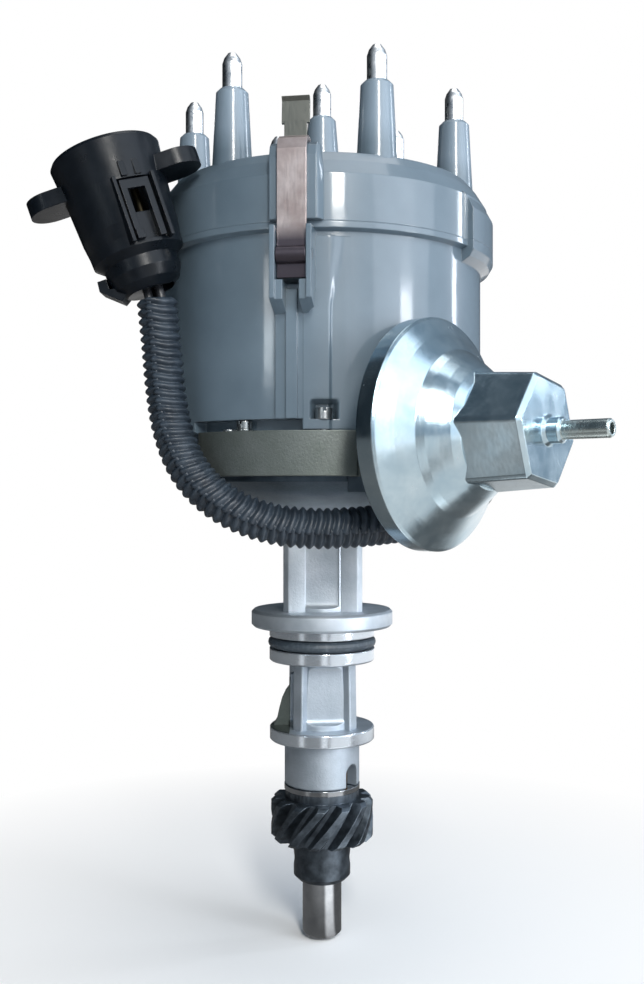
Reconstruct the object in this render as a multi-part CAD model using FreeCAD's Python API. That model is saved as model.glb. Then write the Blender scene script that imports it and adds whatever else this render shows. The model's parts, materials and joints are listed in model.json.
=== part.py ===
import FreeCAD, Part
import math
import os

from FreeCAD import Matrix, Placement, Vector

# Ignition distributor for a six cylinder engine, with a tall cap, a cap adapter, a vacuum
# advance and a pickup lead in a split loom. Millimetres.
# Origin: centre of the underside of the hold-down flange, on the shaft axis. +Z is up.
# Azimuths are in degrees from the front, which is -Y, and grow towards +X.

# Shaft and its bushings
shaft_radius = 6.55
journal_radius = 6.35
journal_step = 0.5
shaft_tip_z = -100.4
shaft_tip_chamfer = 1.0
spindle_radius = 5.0
spindle_top_z = 87.0
hex_socket_flats = 7.94
hex_socket_depth = 14.0
running_clearance = 0.03
bushing_wall = 2.05
lower_bushing_top_z = -33.0
upper_bushing_bottom_z = 18.0
middle_bore_gap = 0.45

# Drive gear, below the housing
gear_tip_radius = 16.66
gear_root_radius = 13.2
gear_teeth = 13
gear_bottom_z = -69.0
gear_top_z = -55.6
gear_twist_per_mm = 3.0
gear_sections = 6
tooth_root_share = 0.26
tooth_tip_start = 0.46
tooth_tip_end = 0.80
gear_end_chamfer = 1.2
gear_blank_excess = 0.5
gear_hub_radius = 9.25
gear_hub_bottom_z = -82.4
gear_hub_chamfer = 1.5
gear_neck_radius = 12.0
gear_pin_z = -75.5
gear_pin_radius = 2.38
gear_pin_wall = 0.85
gear_pin_slit = 0.9
gear_pin_recess = 0.3
washer_thickness = 1.6
washer_end_float = 0.15
upper_washer_radius = 10.5

# Shank of the housing
barrel_radius = 12.2
barrel_bottom_z = -51.2
pilot_radius = 17.03
pilot_bottom_z = -36.8
pilot_top_z = -32.4
lower_neck_top_radius = 10.15
lower_neck_foot_radius = 11.0
lower_panel_width = 12.7
lower_panel_depth_from_axis = 8.75
lower_panel_azimuth = 7.0
collar_radius = 17.16
collar_bottom_z = -11.1
groove_bottom_z = -7.2
groove_top_z = -3.1
ring_section = 3.5
ring_outer_radius = 17.6
ring_sides = 12
flange_radius = 23.0
flange_thickness = 5.5
upper_neck_radius = 12.4
upper_neck_top_z = 36.0
upper_panel_width = 10.6
upper_panel_depth_from_axis = 10.7
panel_corner = 2.0
fin_azimuth = -90.0
fin_thickness = 2.6
fin_reach = 15.0
fin_top_z = -19.0
oil_slot_azimuth = 53.0
oil_slot_width = 5.8
oil_slot_top_z = -43.7

# Bowl of the housing
bowl_radius = 46.5
bowl_wall = 5.5
bowl_ledge_wall = 3.0
bowl_cone_top_z = 46.5
bowl_floor_z = 44.5
bowl_floor_flat_radius = 26.0
bowl_floor_edge_z = 50.0
bowl_rim_z = 60.8
gusset_reach = 15.0
gusset_thickness = 2.6
gusset_bottom_z = 28.5
gusset_azimuths = (45.0, 135.0, 225.0, 315.0)
pad_reach = 5.5
pad_bottom_z = 48.0
pad_start = -47.0
pad_end = 11.0
pad_corner = 4.0

# Adapter between the bowl and the cap
adapter_overhang = 4.7
adapter_wall = 5.0
adapter_foot_height = 3.0
adapter_foot_gap = 0.3
adapter_flange_reach = 2.1
adapter_flange_thickness = 2.4
adapter_height = 57.9
relief_start = -47.0
relief_end = -6.2
relief_depth = 4.3
relief_height = 3.2
adapter_screw_azimuths = (0.8, 100.8, 230.8)
adapter_screw_inset = 1.0
adapter_screw_head_radius = 2.6
adapter_screw_head_height = 3.2
adapter_screw_slot = 0.9
adapter_screw_radius = 1.4
adapter_screw_depth = 9.0
flute_radius = 4.6
flute_standoff = 0.3
flute_top_z = 96.0
boss_radius = 4.4
pilaster_start = -14.6
pilaster_end = -1.5
pilaster_proud = 0.9
rib_width = 3.3
rib_proud = 1.7
rib_azimuth = -9.3
lug_start = 54.5
lug_end = 112.0
lug_reach = 1.9
lug_drop = 4.9
lug_groove_radius = 1.2
lug_groove_azimuth = 52.4

# Small screw and terminal on the pad
ground_screw_azimuth = -26.6
ground_screw_inset = 1.7
ground_screw_radius = 1.1
ground_screw_depth = 6.0
ground_head_radius = 2.2
ground_head_height = 2.2
ground_washer_radius = 2.4
ground_washer_thickness = 0.6
ground_tag_azimuth = -32.6
ground_tag_radius = 1.8

# Spring clips and the brackets that carry them
clip_azimuths = (-8.4, 171.6)
clip_pivot_standoff = 6.0
clip_pivot_drop = 10.2
clip_pin_radius = 1.3
clip_width = 8.2
clip_sheet = 1.1
clip_eye_clearance = 0.05
clip_side_gap = 0.25
clip_boss_gap = 0.6
clip_nose_gap = 0.8
clip_tab_setback = 5.4
clip_tab_height = 12.0
clip_tab_width = 7.9
clip_tab_neck_width = 6.4
clip_tab_neck_height = 4.9
clip_tail_drop = 6.2
ear_thickness = 1.5
ear_front = 2.4
ear_height = 19.9
ear_slope = 3.5
bracket_block_height = 5.1
bracket_channel_width = 4.6
bracket_pocket_depth = 1.3

# Cap and its terminals
cap_wall = 3.6
cap_skirt_height = 13.4
cap_bevel_height = 4.3
cap_bevel_depth = 2.7
cap_edge_height = 2.9
cap_edge_depth = 5.0
cap_crown_rise = 1.7
cap_crown_radius = 12.0
cap_roof = 5.3
cap_lip_depth = 2.2
cap_lip_wall = 1.8
cap_lip_gap = 0.05
cap_boss_width = 13.2
cap_boss_rise = 1.4
cap_notch_depth = 0.9
cap_notch_half_width = 1.3
tower_circle = 42.85
tower_azimuths = (-38.2, 21.8, 81.8, 141.8, 201.8, 261.8)
tower_top_radius = 4.8
tower_foot_radius = 6.0
tower_height = 22.8
tower_edge = 1.1
centre_tower_top_radius = 4.5
centre_tower_foot_radius = 6.6
centre_tower_height = 26.4
terminal_radius = 2.95
terminal_barrel = 7.6
terminal_nose = 3.6
terminal_stem_radius = 1.6
electrode_radius = 2.5
electrode_length = 9.0
electrode_collar = 1.4
button_radius = 2.5
button_length = 5.7

# Centrifugal advance
weight_plate_bottom_z = 46.5
weight_plate_thickness = 2.0
weight_plate_radius = 15.0
weight_plate_bar = 11.0
knuckle_radius = 4.4
pivot_circle = 24.0
pivot_radius = 2.0
pivot_azimuth = 30.0
pivot_clearance = 0.05
weight_gap = 0.4
weight_thickness = 3.6
weight_inner_radius = 13.0
weight_outer_radius = 29.5
weight_sweep = 100.0
weight_peg_radius = 1.5
weight_peg_circle = 19.0
weight_peg_angle = 62.0
weight_swing = 15.0
sleeve_advance = 12.0
slot_clearance = 0.4
cam_plate_gap = 0.5
cam_plate_thickness = 1.5
cam_arm_reach = 24.5
cam_arm_width = 13.0
sleeve_outer_radius = 7.2
sleeve_top_z = 84.0
sleeve_post_circle = 17.0
sleeve_post_angle = 110.0
plate_post_circle = 17.5
plate_post_angle = 166.0
post_radius = 0.9
hook_gap = 0.1
spring_wire = 0.3
spring_coil_radius = 1.4

# Plates, reluctor and pickup
plate_screw_azimuths = (-60.0, 120.0)
plate_screw_inset = 3.1
plate_screw_radius = 1.4
plate_screw_head_radius = 2.5
plate_screw_head_height = 2.0
plate_screw_slot = 0.8
base_plate_z = 55.5
base_plate_thickness = 1.5
base_plate_gap = 0.2
base_plate_bore = 10.8
base_plate_collar_radius = 12.6
base_plate_collar_top_z = 59.4
lead_notch_width = 9.0
lead_notch_depth = 6.3
pickup_plate_gap = 0.3
pickup_plate_thickness = 1.3
pickup_plate_radius = 36.0
pickup_plate_clearance = 0.05
stator_advance = 10.0
reluctor_bottom_z = 62.6
reluctor_height = 7.4
reluctor_hub_radius = 11.0
reluctor_tip_radius = 20.0
reluctor_tooth_width = 3.6
reluctor_teeth = 6
reluctor_pin_radius = 1.0
pickup_air_gap = 0.6
pickup_azimuth = 150.0
pickup_pole_z = 66.3
pickup_pole_side = 3.4
pickup_coil_near = 1.2
pickup_coil_far = 7.4
pickup_coil_width = 12.0
pickup_coil_height = 9.6
pickup_magnet_depth = 3.2
pickup_magnet_width = 10.0
pickup_bracket_width = 14.0
pickup_bracket_sheet = 1.6

# Rotor
rotor_azimuth = 21.8
rotor_seat_z = 71.0
rotor_hub_radius = 11.0
rotor_stem_radius = 9.2
rotor_drop = 16.0
rotor_disc_thickness = 4.0
rotor_disc_radius = 30.0
rotor_arm_width = 10.0
rotor_arm_reach = 37.0
rotor_tip_gap = 0.8
rotor_tip_depth = 2.2
rotor_blade_width = 7.0
rotor_blade_thickness = 1.2
contact_width = 5.0
contact_sheet = 0.6
contact_foot = 18.0
contact_heel = 8.0
contact_gap = 0.3

# Vacuum canister: its axis leaves the housing at canister_azimuth, offset to one side
canister_azimuth = 51.0
canister_offset = -18.1
canister_axis_z = 59.5
canister_face = 58.0
canister_radius = 32.7
canister_lip_back = -5.6
hex_back = 14.5
hex_front = 32.5
hex_back_radius = 17.6
hex_front_radius = 16.0
hex_turn = -9.0
hex_wall = 4.0
hex_edge_radius = 2.0
hex_front_bevel = 1.1
nozzle_boss_radius = 3.5
nozzle_boss_length = 4.5
nipple_root_radius = 2.75
nipple_radius = 2.5
nipple_bore = 1.5
nipple_tip = 50.0
rod_z = 59.0
rod_thickness = 1.0
rod_width = 4.6
rod_pin_radius = 1.5
rod_pin_clearance = 0.35
plunger_radius = 1.8
plunger_back = -10.5
dish_profile = ((28.6, 2.2), (27.6, 2.9), (23.2, 6.4), (21.8, 8.4), (19.6, 11.2), (17.6, 13.6))
crimp_profile = ((29.6, -4.8), (31.7, -4.8), (31.7, -2.8), (28.0, -2.8), (28.0, 0.8))
dish_inside = ((26.8, 2.2), (22.4, 5.6), (21.0, 7.6), (18.8, 10.4), (14.5, 13.0))
diaphragm_profile = ((31.6, -3.6), (31.6, -2.8), (25.0, -2.8), (22.5, -0.6), (19.0, -0.6),
                     (17.0, -1.6), (3.0, -1.6), (3.0, -2.4), (16.6, -2.4), (18.6, -1.5),
                     (22.1, -1.5), (24.6, -3.6))
back_disc_radius = 31.6
back_disc_low = -4.8
back_disc_high = -3.6
spring_radius = 6.4
spring_wire_half = 0.6
spring_turns = 5
rod_window_side = 3.2
rod_window_near = 8.0
rod_window_low = 2.0
rod_window_high = 3.4
ledge_drop = 3.0
bracket_low_z = 52.0
bracket_sheet = 1.6
bracket_side_low = -33.0
bracket_side_high = 0.0
bracket_screw_offsets = (-28.0, -5.5)
bracket_screw_standoff = 3.1
bracket_screw_radius = 1.5
bracket_screw_depth = 4.5
bracket_head_radius = 2.6
bracket_head_height = 2.2

# Lead, loom and connector
grommet_azimuth = 130.0
grommet_z = 52.6
grommet_flange_radius = 5.8
grommet_hole_radius = 4.6
wire_radius = 1.3
sheath_radius = 2.9
loom_radius = 6.5
connector_tilt = 19.0
connector_top = (-63.1, -40.0, 140.9)
connector_body_radius = 14.2
connector_socket_radius = 12.6
connector_socket_depth = 22.0
connector_pin_circle = 6.0
connector_pin_drop = 13.0
connector_pin_radius = 1.2
wing_reach = 18.8
wing_tip_radius = 7.0
wing_low = 11.4
wing_high = 6.8
hook_half_width = 4.2
hook_outline = ((-13.2, -35.1), (-13.5, -38.0), (-8.4, -42.5), (-5.5, -40.7), (-8.0, -38.6),
                (-10.6, -38.2), (-10.6, -35.1))
connector_outline = ((0, -41.8), (6.8, -41.8), (9.6, -39.6), (10.9, -36.6), (10.9, -33.2),
                     (13.4, -31.2), (13.6, -28.0), (14.2, -24.0), (15.0, -12.0), (16.2, -1.0),
                     (15.5, 0), (0, 0))
lead_bore_radius = 4.4
lead_bore_shift = 3.0
latch_leg_width = 1.8
latch_half_width = 4.4
latch_turn = 28.0
latch_window_width = 10.4
latch_low = 30.2
latch_high = 12.8

# Routes of the loom and the leads, as points chosen along them
loom_points = (
    (-47.6, -41.2, 99.0), (-46.3, -40.4, 85.8), (-45.3, -40.4, 72.6), (-42.8, -42.6, 59.8),
    (-37.4, -46.7, 48.4), (-28.0, -49.2, 39.8), (-16.0, -49.2, 34.6), (-3.2, -48.2, 33.0),
    (9.8, -45.4, 33.4), (21.8, -40.2, 34.6), (32.0, -32.0, 35.8), (39.4, -21.2, 36.6))
pickup_lead_points = (
    (36.9, -24.9, 36.4), (46.4, -11.6, 37.8), (54.4, 2.6, 42.8), (58.6, 19.4, 49.2),
    (53.2, 33.6, 52.8), (41.8, 35.4, 52.9), (33.8, 28.6, 52.6))
connector_lead_points = ((-49.3, -40.2, 103.4), (-48.2, -40.8, 100.8), (-47.6, -41.2, 97.6))


def polar(radius, azimuth, height=0.0):
    angle = math.radians(azimuth)
    return Vector(radius * math.sin(angle), -radius * math.cos(angle), height)


def rod(radius, low, high, x=0.0, y=0.0):
    return Part.makeCylinder(radius, high - low, Vector(x, y, low))


def rod_at(radius, low, high, circle, azimuth):
    place = polar(circle, azimuth)
    return rod(radius, low, high, place.x, place.y)


def tube(outer, inner, low, high):
    return rod(outer, low, high).cut(rod(inner, low - 1, high + 1))


def turned(profile, turn=360.0):
    points = [Vector(radius, 0, height) for radius, height in profile]
    face = Part.Face(Part.makePolygon(points + points[:1]))
    return face.revolve(Vector(), Vector(0, 0, 1), turn)


def turn_to(shape, azimuth):
    turned_shape = shape.copy()
    turned_shape.rotate(Vector(), Vector(0, 0, 1), azimuth)
    return turned_shape


def sector(profile, start, end):
    """A turned profile that covers only the azimuths from start to end."""
    return turn_to(turned(profile, end - start), start - 90.0)


def ring_sector(inner, outer, low, high, start, end):
    corners = [(inner, low), (outer, low), (outer, high), (inner, high)]
    return sector(corners, start, end)


def block(x_low, x_high, y_low, y_high, z_low, z_high):
    corner = Vector(x_low, y_low, z_low)
    return Part.makeBox(x_high - x_low, y_high - y_low, z_high - z_low, corner)


def front_block(width, near, far, low, high, azimuth=0.0):
    """A block that reaches from one radius to another, centred on an azimuth."""
    return turn_to(block(-width / 2, width / 2, -far, -near, low, high), azimuth)


def side_plate(outline, thickness, azimuth=0.0):
    """A plate in the plane through the axis, drawn as (radius, height) points."""
    points = [Vector(-thickness / 2, -radius, height) for radius, height in outline]
    face = Part.Face(Part.makePolygon(points + points[:1]))
    return turn_to(face.extrude(Vector(thickness, 0, 0)), azimuth)


def fused(shapes):
    whole = shapes[0].fuse(shapes[1:]) if len(shapes) > 1 else shapes[0]
    return whole.removeSplitter()


def vertical_edges(shape, low, high):
    """Straight upright edges whose middle lies between two heights."""
    found = []
    for edge in shape.Edges:
        if len(edge.Vertexes) != 2:
            continue
        first, last = edge.Vertexes[0].Point, edge.Vertexes[1].Point
        upright = math.hypot(first.x - last.x, first.y - last.y) < 1e-6
        if upright and low < (first.z + last.z) / 2 < high:
            found.append(edge)
    return found


def local_frame(origin, x_axis, y_axis, z_axis):
    return Placement(Matrix(
        x_axis.x, y_axis.x, z_axis.x, origin.x,
        x_axis.y, y_axis.y, z_axis.y, origin.y,
        x_axis.z, y_axis.z, z_axis.z, origin.z,
        0, 0, 0, 1))


def placed(shape, frame):
    moved = shape.copy()
    moved.Placement = frame.multiply(moved.Placement)
    return moved


def regular_polygon(sides, radius, height, turn):
    points = []
    for side in range(sides):
        angle = math.radians(turn + side * 360.0 / sides)
        points.append(Vector(radius * math.cos(angle), radius * math.sin(angle), height))
    return Part.makePolygon(points + points[:1])


# Directions of the vacuum canister
canister_out = polar(1.0, canister_azimuth)
canister_side = polar(1.0, canister_azimuth + 90.0)
canister_centre = (canister_out * canister_face + canister_side * canister_offset
                   + Vector(0, 0, canister_axis_z))
canister_frame = local_frame(canister_centre, canister_side, Vector(0, 0, 1), canister_out)

# Sizes that follow from the values above
bushing_bore = shaft_radius + running_clearance
bushing_outer = bushing_bore + bushing_wall
washer_top_z = barrel_bottom_z - washer_end_float
washer_bottom_z = washer_top_z - washer_thickness
weight_plate_top_z = weight_plate_bottom_z + weight_plate_thickness
weight_bottom_z = weight_plate_top_z + weight_gap
weight_top_z = weight_bottom_z + weight_thickness
spring_z = (weight_bottom_z + weight_top_z) / 2
cam_plate_bottom_z = weight_top_z + cam_plate_gap
cam_plate_top_z = cam_plate_bottom_z + cam_plate_thickness
base_plate_top_z = base_plate_z + base_plate_thickness
pickup_plate_bottom_z = base_plate_top_z + pickup_plate_gap
pickup_plate_top_z = pickup_plate_bottom_z + pickup_plate_thickness

bowl_inner_radius = bowl_radius - bowl_wall
bowl_ledge_radius = bowl_radius - bowl_ledge_wall
base_plate_radius = bowl_ledge_radius - base_plate_gap
plate_screw_circle = base_plate_radius - plate_screw_inset
pad_radius = bowl_radius + pad_reach
adapter_radius = bowl_radius + adapter_overhang
adapter_inner_radius = adapter_radius - adapter_wall
adapter_foot_inner_radius = bowl_ledge_radius + adapter_foot_gap
adapter_foot_top_z = bowl_rim_z + adapter_foot_height
adapter_flange_radius = adapter_radius + adapter_flange_reach
joint_z = bowl_rim_z + adapter_height
adapter_flange_bottom_z = joint_z - adapter_flange_thickness
adapter_screw_circle = adapter_radius - adapter_screw_inset
relief_radius = adapter_radius - relief_depth
relief_top_z = bowl_rim_z + relief_height
flute_circle = adapter_radius + flute_standoff
ground_screw_circle = adapter_radius - ground_screw_inset
cap_radius = adapter_flange_radius
cap_inner_radius = cap_radius - cap_wall
cap_shoulder_z = joint_z + cap_skirt_height
cap_break_radius = cap_radius - cap_bevel_depth
cap_break_z = cap_shoulder_z + cap_bevel_height
cap_top_radius = cap_radius - cap_edge_depth
cap_top_z = cap_break_z + cap_edge_height
cap_crown_z = cap_top_z + cap_crown_rise
cap_ceiling_z = cap_top_z - cap_roof
lug_radius = cap_radius + lug_reach
tower_top_z = cap_top_z + tower_height
centre_tower_top_z = cap_top_z + centre_tower_height
electrode_bottom_z = cap_ceiling_z - electrode_length
button_top_z = cap_ceiling_z + 2.0
button_bottom_z = button_top_z - button_length
clip_pivot_radius = adapter_radius + clip_pivot_standoff
clip_pivot_z = joint_z - clip_pivot_drop
clip_outer_radius = clip_pivot_radius + 0.1
clip_inner_radius = clip_outer_radius - clip_sheet
cap_boss_radius = clip_inner_radius - clip_boss_gap
cap_boss_top_z = cap_top_z + cap_boss_rise
clip_bend_z = cap_boss_top_z + clip_boss_gap + clip_sheet
clip_tab_radius = cap_boss_radius - clip_tab_setback
clip_nose_z = cap_boss_top_z - cap_notch_depth + clip_nose_gap
ear_gap = clip_width + 2 * clip_side_gap
ear_reach = clip_pivot_radius + ear_front
ear_bottom_z = adapter_flange_bottom_z - ear_height
bracket_block_top_z = ear_bottom_z + bracket_block_height
rotor_disc_z = cap_ceiling_z - rotor_drop
contact_top_z = button_bottom_z - contact_gap
bracket_screw_circle = bowl_radius + bracket_screw_standoff


# Housing

def lower_shank():
    """Barrel, pilot land, lower neck and O-ring collar as one turned form."""
    return turned([
        (0, barrel_bottom_z), (barrel_radius - 0.5, barrel_bottom_z),
        (barrel_radius, barrel_bottom_z + 0.5), (barrel_radius, pilot_bottom_z),
        (pilot_radius - 0.4, pilot_bottom_z), (pilot_radius, pilot_bottom_z + 0.4),
        (pilot_radius, pilot_top_z - 0.4), (pilot_radius - 0.4, pilot_top_z),
        (lower_neck_foot_radius, pilot_top_z), (lower_neck_top_radius, collar_bottom_z),
        (collar_radius - 0.4, collar_bottom_z), (collar_radius, collar_bottom_z + 0.4),
        (collar_radius, groove_bottom_z), (ring_outer_radius - ring_section, groove_bottom_z),
        (ring_outer_radius - ring_section, groove_top_z), (collar_radius, groove_top_z),
        (collar_radius, 0), (0, 0)])


def upper_shank():
    """Hold-down flange, upper neck and the cone and wall of the bowl."""
    return turned([
        (0, 0), (flange_radius - 0.8, 0), (flange_radius, 0.8),
        (flange_radius, flange_thickness - 0.8), (flange_radius - 0.8, flange_thickness),
        (upper_neck_radius, flange_thickness), (upper_neck_radius, upper_neck_top_z),
        (bowl_radius, bowl_cone_top_z), (bowl_radius, bowl_rim_z), (0, bowl_rim_z)])


def bowl_hollow():
    return turned([
        (0, bowl_floor_z), (bowl_floor_flat_radius, bowl_floor_z),
        (bowl_inner_radius, bowl_floor_edge_z), (bowl_inner_radius, base_plate_z),
        (bowl_ledge_radius, base_plate_z), (bowl_ledge_radius, bowl_rim_z + 1),
        (0, bowl_rim_z + 1)])


def shank_bore():
    lower = rod(bushing_outer, barrel_bottom_z - 1, lower_bushing_top_z)
    middle = rod(shaft_radius + middle_bore_gap, lower_bushing_top_z - 1, upper_bushing_bottom_z + 1)
    upper = rod(bushing_outer, upper_bushing_bottom_z, bowl_floor_z + 1)
    return fused([lower, middle, upper])


def neck_panels(width, depth, low, high, azimuth):
    """Four shallow recesses, cast round a neck, with rounded lower corners."""
    cutters = []
    for step in range(4):
        panel = front_block(width, depth, depth + 10, low, high)
        edges = [edge for edge in panel.Edges if edge.BoundBox.ZLength < 0.01
                 and edge.BoundBox.XLength > 1 and abs(edge.BoundBox.YMax + depth) < 0.01]
        panel = panel.makeFillet(panel_corner, edges)
        cutters.append(turn_to(panel, azimuth + 90.0 * step))
    return cutters


def pad():
    """The thick machined pad at the front of the bowl, rounded at its left end."""
    shape = ring_sector(bowl_ledge_radius, pad_radius, pad_bottom_z, bowl_rim_z, pad_start, pad_end)
    corner = polar(pad_radius, pad_start)
    edges = [edge for edge in vertical_edges(shape, pad_bottom_z, bowl_rim_z)
             if (edge.Vertexes[0].Point - Vector(corner.x, corner.y, pad_bottom_z)).Length
             < bowl_rim_z - pad_bottom_z + 0.01
             and math.hypot(edge.Vertexes[0].Point.x - corner.x,
                            edge.Vertexes[0].Point.y - corner.y) < 0.01]
    return shape.makeFillet(pad_corner, edges)


def gussets():
    """Webs that carry the bowl's cone down to the neck."""
    slope = (bowl_cone_top_z - upper_neck_top_z) / (bowl_radius - upper_neck_radius)
    outer = upper_neck_radius + gusset_reach
    outer_z = upper_neck_top_z + gusset_reach * slope
    outline = [(upper_neck_radius - 1.0, gusset_bottom_z), (upper_neck_radius + 0.3, gusset_bottom_z),
               (outer, outer_z), (outer, outer_z + 1.0), (upper_neck_radius - 1.0, upper_neck_top_z + 1.0)]
    return [side_plate(outline, gusset_thickness, azimuth) for azimuth in gusset_azimuths]


def shank_fin():
    outline = [(lower_neck_top_radius - 1.5, fin_top_z), (lower_neck_top_radius + 0.4, fin_top_z),
               (12.8, -22.9), (14.1, -27.4), (fin_reach, pilot_top_z + 0.4),
               (fin_reach, pilot_top_z - 0.5), (lower_neck_top_radius - 1.5, pilot_top_z - 0.5)]
    return side_plate(outline, fin_thickness, fin_azimuth)


def oil_slot():
    radius = oil_slot_width / 2
    straight = front_block(oil_slot_width, shaft_radius - 1, barrel_radius + 1,
                           barrel_bottom_z - 1, oil_slot_top_z - radius)
    head = Part.makeCylinder(radius, barrel_radius - shaft_radius + 2,
                             Vector(0, -(barrel_radius + 1), oil_slot_top_z - radius),
                             Vector(0, 1, 0))
    return turn_to(fused([straight, head]), oil_slot_azimuth)


def screw_bosses():
    return [rod_at(boss_radius, pad_bottom_z, bowl_rim_z, adapter_screw_circle, azimuth)
            for azimuth in adapter_screw_azimuths[1:]]


def canister_block(out_low, out_high, side_low, side_high, low, high):
    """A block in the canister's directions: outward, sideways and up."""
    shape = block(side_low, side_high, low, high, out_low, out_high)
    frame = local_frame(Vector(), canister_side, Vector(0, 0, 1), canister_out)
    return placed(shape, frame)


def canister_point(out, side, height):
    return canister_out * out + canister_side * side + Vector(0, 0, height)


def bracket_ledge():
    """The ledge on the bowl that the canister's bracket is screwed down to."""
    return canister_block(bowl_inner_radius - 5.0, canister_face + canister_lip_back - 0.6,
                          bracket_side_low, bracket_side_high, bowl_cone_top_z - ledge_drop,
                          bracket_low_z)


def rod_window(low, high):
    """The window that the vacuum advance's link passes through."""
    return canister_block(bowl_inner_radius - rod_window_near, adapter_radius + 1.0,
                          canister_offset - rod_window_side, canister_offset + rod_window_side,
                          low, high)


def bracket_screw_place(offset):
    return canister_point(bracket_screw_circle, offset, 0)


def base_housing():
    body = fused([lower_shank(), upper_shank(), pad(), shank_fin(), bracket_ledge()]
                 + gussets() + screw_bosses())
    cutters = [bowl_hollow(), shank_bore(), oil_slot()]
    cutters += neck_panels(lower_panel_width, lower_panel_depth_from_axis,
                           pilot_top_z + 1.6, collar_bottom_z - 0.8, lower_panel_azimuth)
    cutters += neck_panels(upper_panel_width, upper_panel_depth_from_axis,
                           flange_thickness + 1.0, upper_neck_top_z + 2.0, 0.0)
    for azimuth in adapter_screw_azimuths:
        cutters.append(rod_at(adapter_screw_radius, bowl_rim_z - adapter_screw_depth,
                              bowl_rim_z + 1, adapter_screw_circle, azimuth))
    for offset in bracket_screw_offsets:
        place = bracket_screw_place(offset)
        cutters.append(rod(bracket_screw_radius, bracket_low_z - bracket_screw_depth,
                           bracket_low_z + 1, place.x, place.y))
    cutters.append(rod_at(ground_screw_radius, bowl_rim_z - ground_screw_depth, bowl_rim_z + 1,
                          ground_screw_circle, ground_screw_azimuth))
    cutters.append(lead_hole())
    cutters.append(rod_window(rod_z - rod_window_low, bowl_rim_z + 1))
    return body.cut(cutters)


def lead_hole():
    """The hole in the bowl's wall that the grommet fills."""
    hole = Part.makeCylinder(grommet_hole_radius, bowl_radius - bowl_inner_radius + 4,
                             Vector(0, -(bowl_radius + 4), grommet_z), Vector(0, 1, 0))
    return turn_to(hole, grommet_azimuth)


def bushing(low, high):
    return tube(bushing_outer, bushing_bore, low, high)


def flange_o_ring():
    section = ring_section / 2
    middle = (groove_bottom_z + groove_top_z) / 2
    profile = []
    for side in range(ring_sides):
        angle = math.radians(360.0 * side / ring_sides)
        profile.append((ring_outer_radius - section + section * math.cos(angle),
                        middle + section * math.sin(angle)))
    return turned(profile)


# Shaft and gear

def drive_shaft():
    step_z = gear_hub_bottom_z - journal_step
    body = turned([
        (0, shaft_tip_z), (journal_radius - shaft_tip_chamfer, shaft_tip_z),
        (journal_radius, shaft_tip_z + shaft_tip_chamfer), (journal_radius, step_z),
        (shaft_radius, step_z), (shaft_radius, weight_plate_top_z),
        (spindle_radius, weight_plate_top_z), (spindle_radius, spindle_top_z - 0.6),
        (spindle_radius - 0.6, spindle_top_z), (0, spindle_top_z)])
    socket = Part.Face(regular_polygon(6, hex_socket_flats / math.sqrt(3), shaft_tip_z - 1, 0))
    socket = socket.extrude(Vector(0, 0, hex_socket_depth + 1))
    return body.cut([socket, gear_pin_hole()])


def gear_pin_hole():
    return Part.makeCylinder(gear_pin_radius, 4 * gear_hub_radius,
                             Vector(-2 * gear_hub_radius, 0, gear_pin_z), Vector(1, 0, 0))


def gear_section(height):
    """One cross-section of the toothed rim, turned to its place on the helix."""
    pitch = 360.0 / gear_teeth
    turn = gear_twist_per_mm * (height - gear_bottom_z)
    points = []
    for tooth in range(gear_teeth):
        start = tooth * pitch + turn
        points.append(polar(gear_root_radius, start, height))
        points.append(polar(gear_root_radius, start + pitch * tooth_root_share, height))
        points.append(polar(gear_tip_radius, start + pitch * tooth_tip_start, height))
        points.append(polar(gear_tip_radius, start + pitch * tooth_tip_end, height))
    return Part.makePolygon(points + points[:1])


def drive_gear():
    low = gear_bottom_z
    rise = (gear_top_z - low) / gear_sections
    sections = [gear_section(low + rise * step) for step in range(gear_sections + 1)]
    rim = Part.makeLoft(sections, True, True)
    outside = gear_tip_radius + gear_blank_excess
    bevel = gear_end_chamfer + gear_blank_excess
    envelope = turned([
        (0, gear_bottom_z - 1), (outside - bevel - 1, gear_bottom_z - 1),
        (outside, gear_bottom_z + bevel), (outside, gear_top_z - bevel),
        (outside - bevel - 1, gear_top_z + 1), (0, gear_top_z + 1)])
    rim = rim.common(envelope)
    hub = turned([
        (0, gear_hub_bottom_z), (gear_hub_radius - gear_hub_chamfer, gear_hub_bottom_z),
        (gear_hub_radius, gear_hub_bottom_z + gear_hub_chamfer), (gear_hub_radius, gear_top_z),
        (gear_neck_radius, gear_top_z), (gear_neck_radius, washer_bottom_z),
        (0, washer_bottom_z)])
    body = rim.fuse(hub)
    return body.cut([rod(shaft_radius, gear_hub_bottom_z - 1, washer_bottom_z + 1),
                     gear_pin_hole()])


def gear_roll_pin():
    """A rolled spring pin: a split sleeve through the gear's hub and the shaft."""
    half = gear_hub_radius - gear_pin_recess
    start = Vector(-half, 0, gear_pin_z)
    sleeve = Part.makeCylinder(gear_pin_radius, 2 * half, start, Vector(1, 0, 0))
    bore = Part.makeCylinder(gear_pin_radius - gear_pin_wall, 2 * half, start, Vector(1, 0, 0))
    slit = block(-half, half, -gear_pin_slit / 2, gear_pin_slit / 2, gear_pin_z,
                 gear_pin_z + 2 * gear_pin_radius)
    return sleeve.cut([bore, slit])


def gear_thrust_washer():
    return tube(gear_neck_radius + 0.3, shaft_radius + 0.1, washer_bottom_z, washer_top_z)


def upper_thrust_washer():
    return tube(upper_washer_radius, shaft_radius + 0.1, bowl_floor_z + 0.8, weight_plate_bottom_z)


# Centrifugal advance

def advance_pivots():
    return [polar(pivot_circle, pivot_azimuth + 180.0 * side) for side in range(2)]


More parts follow.
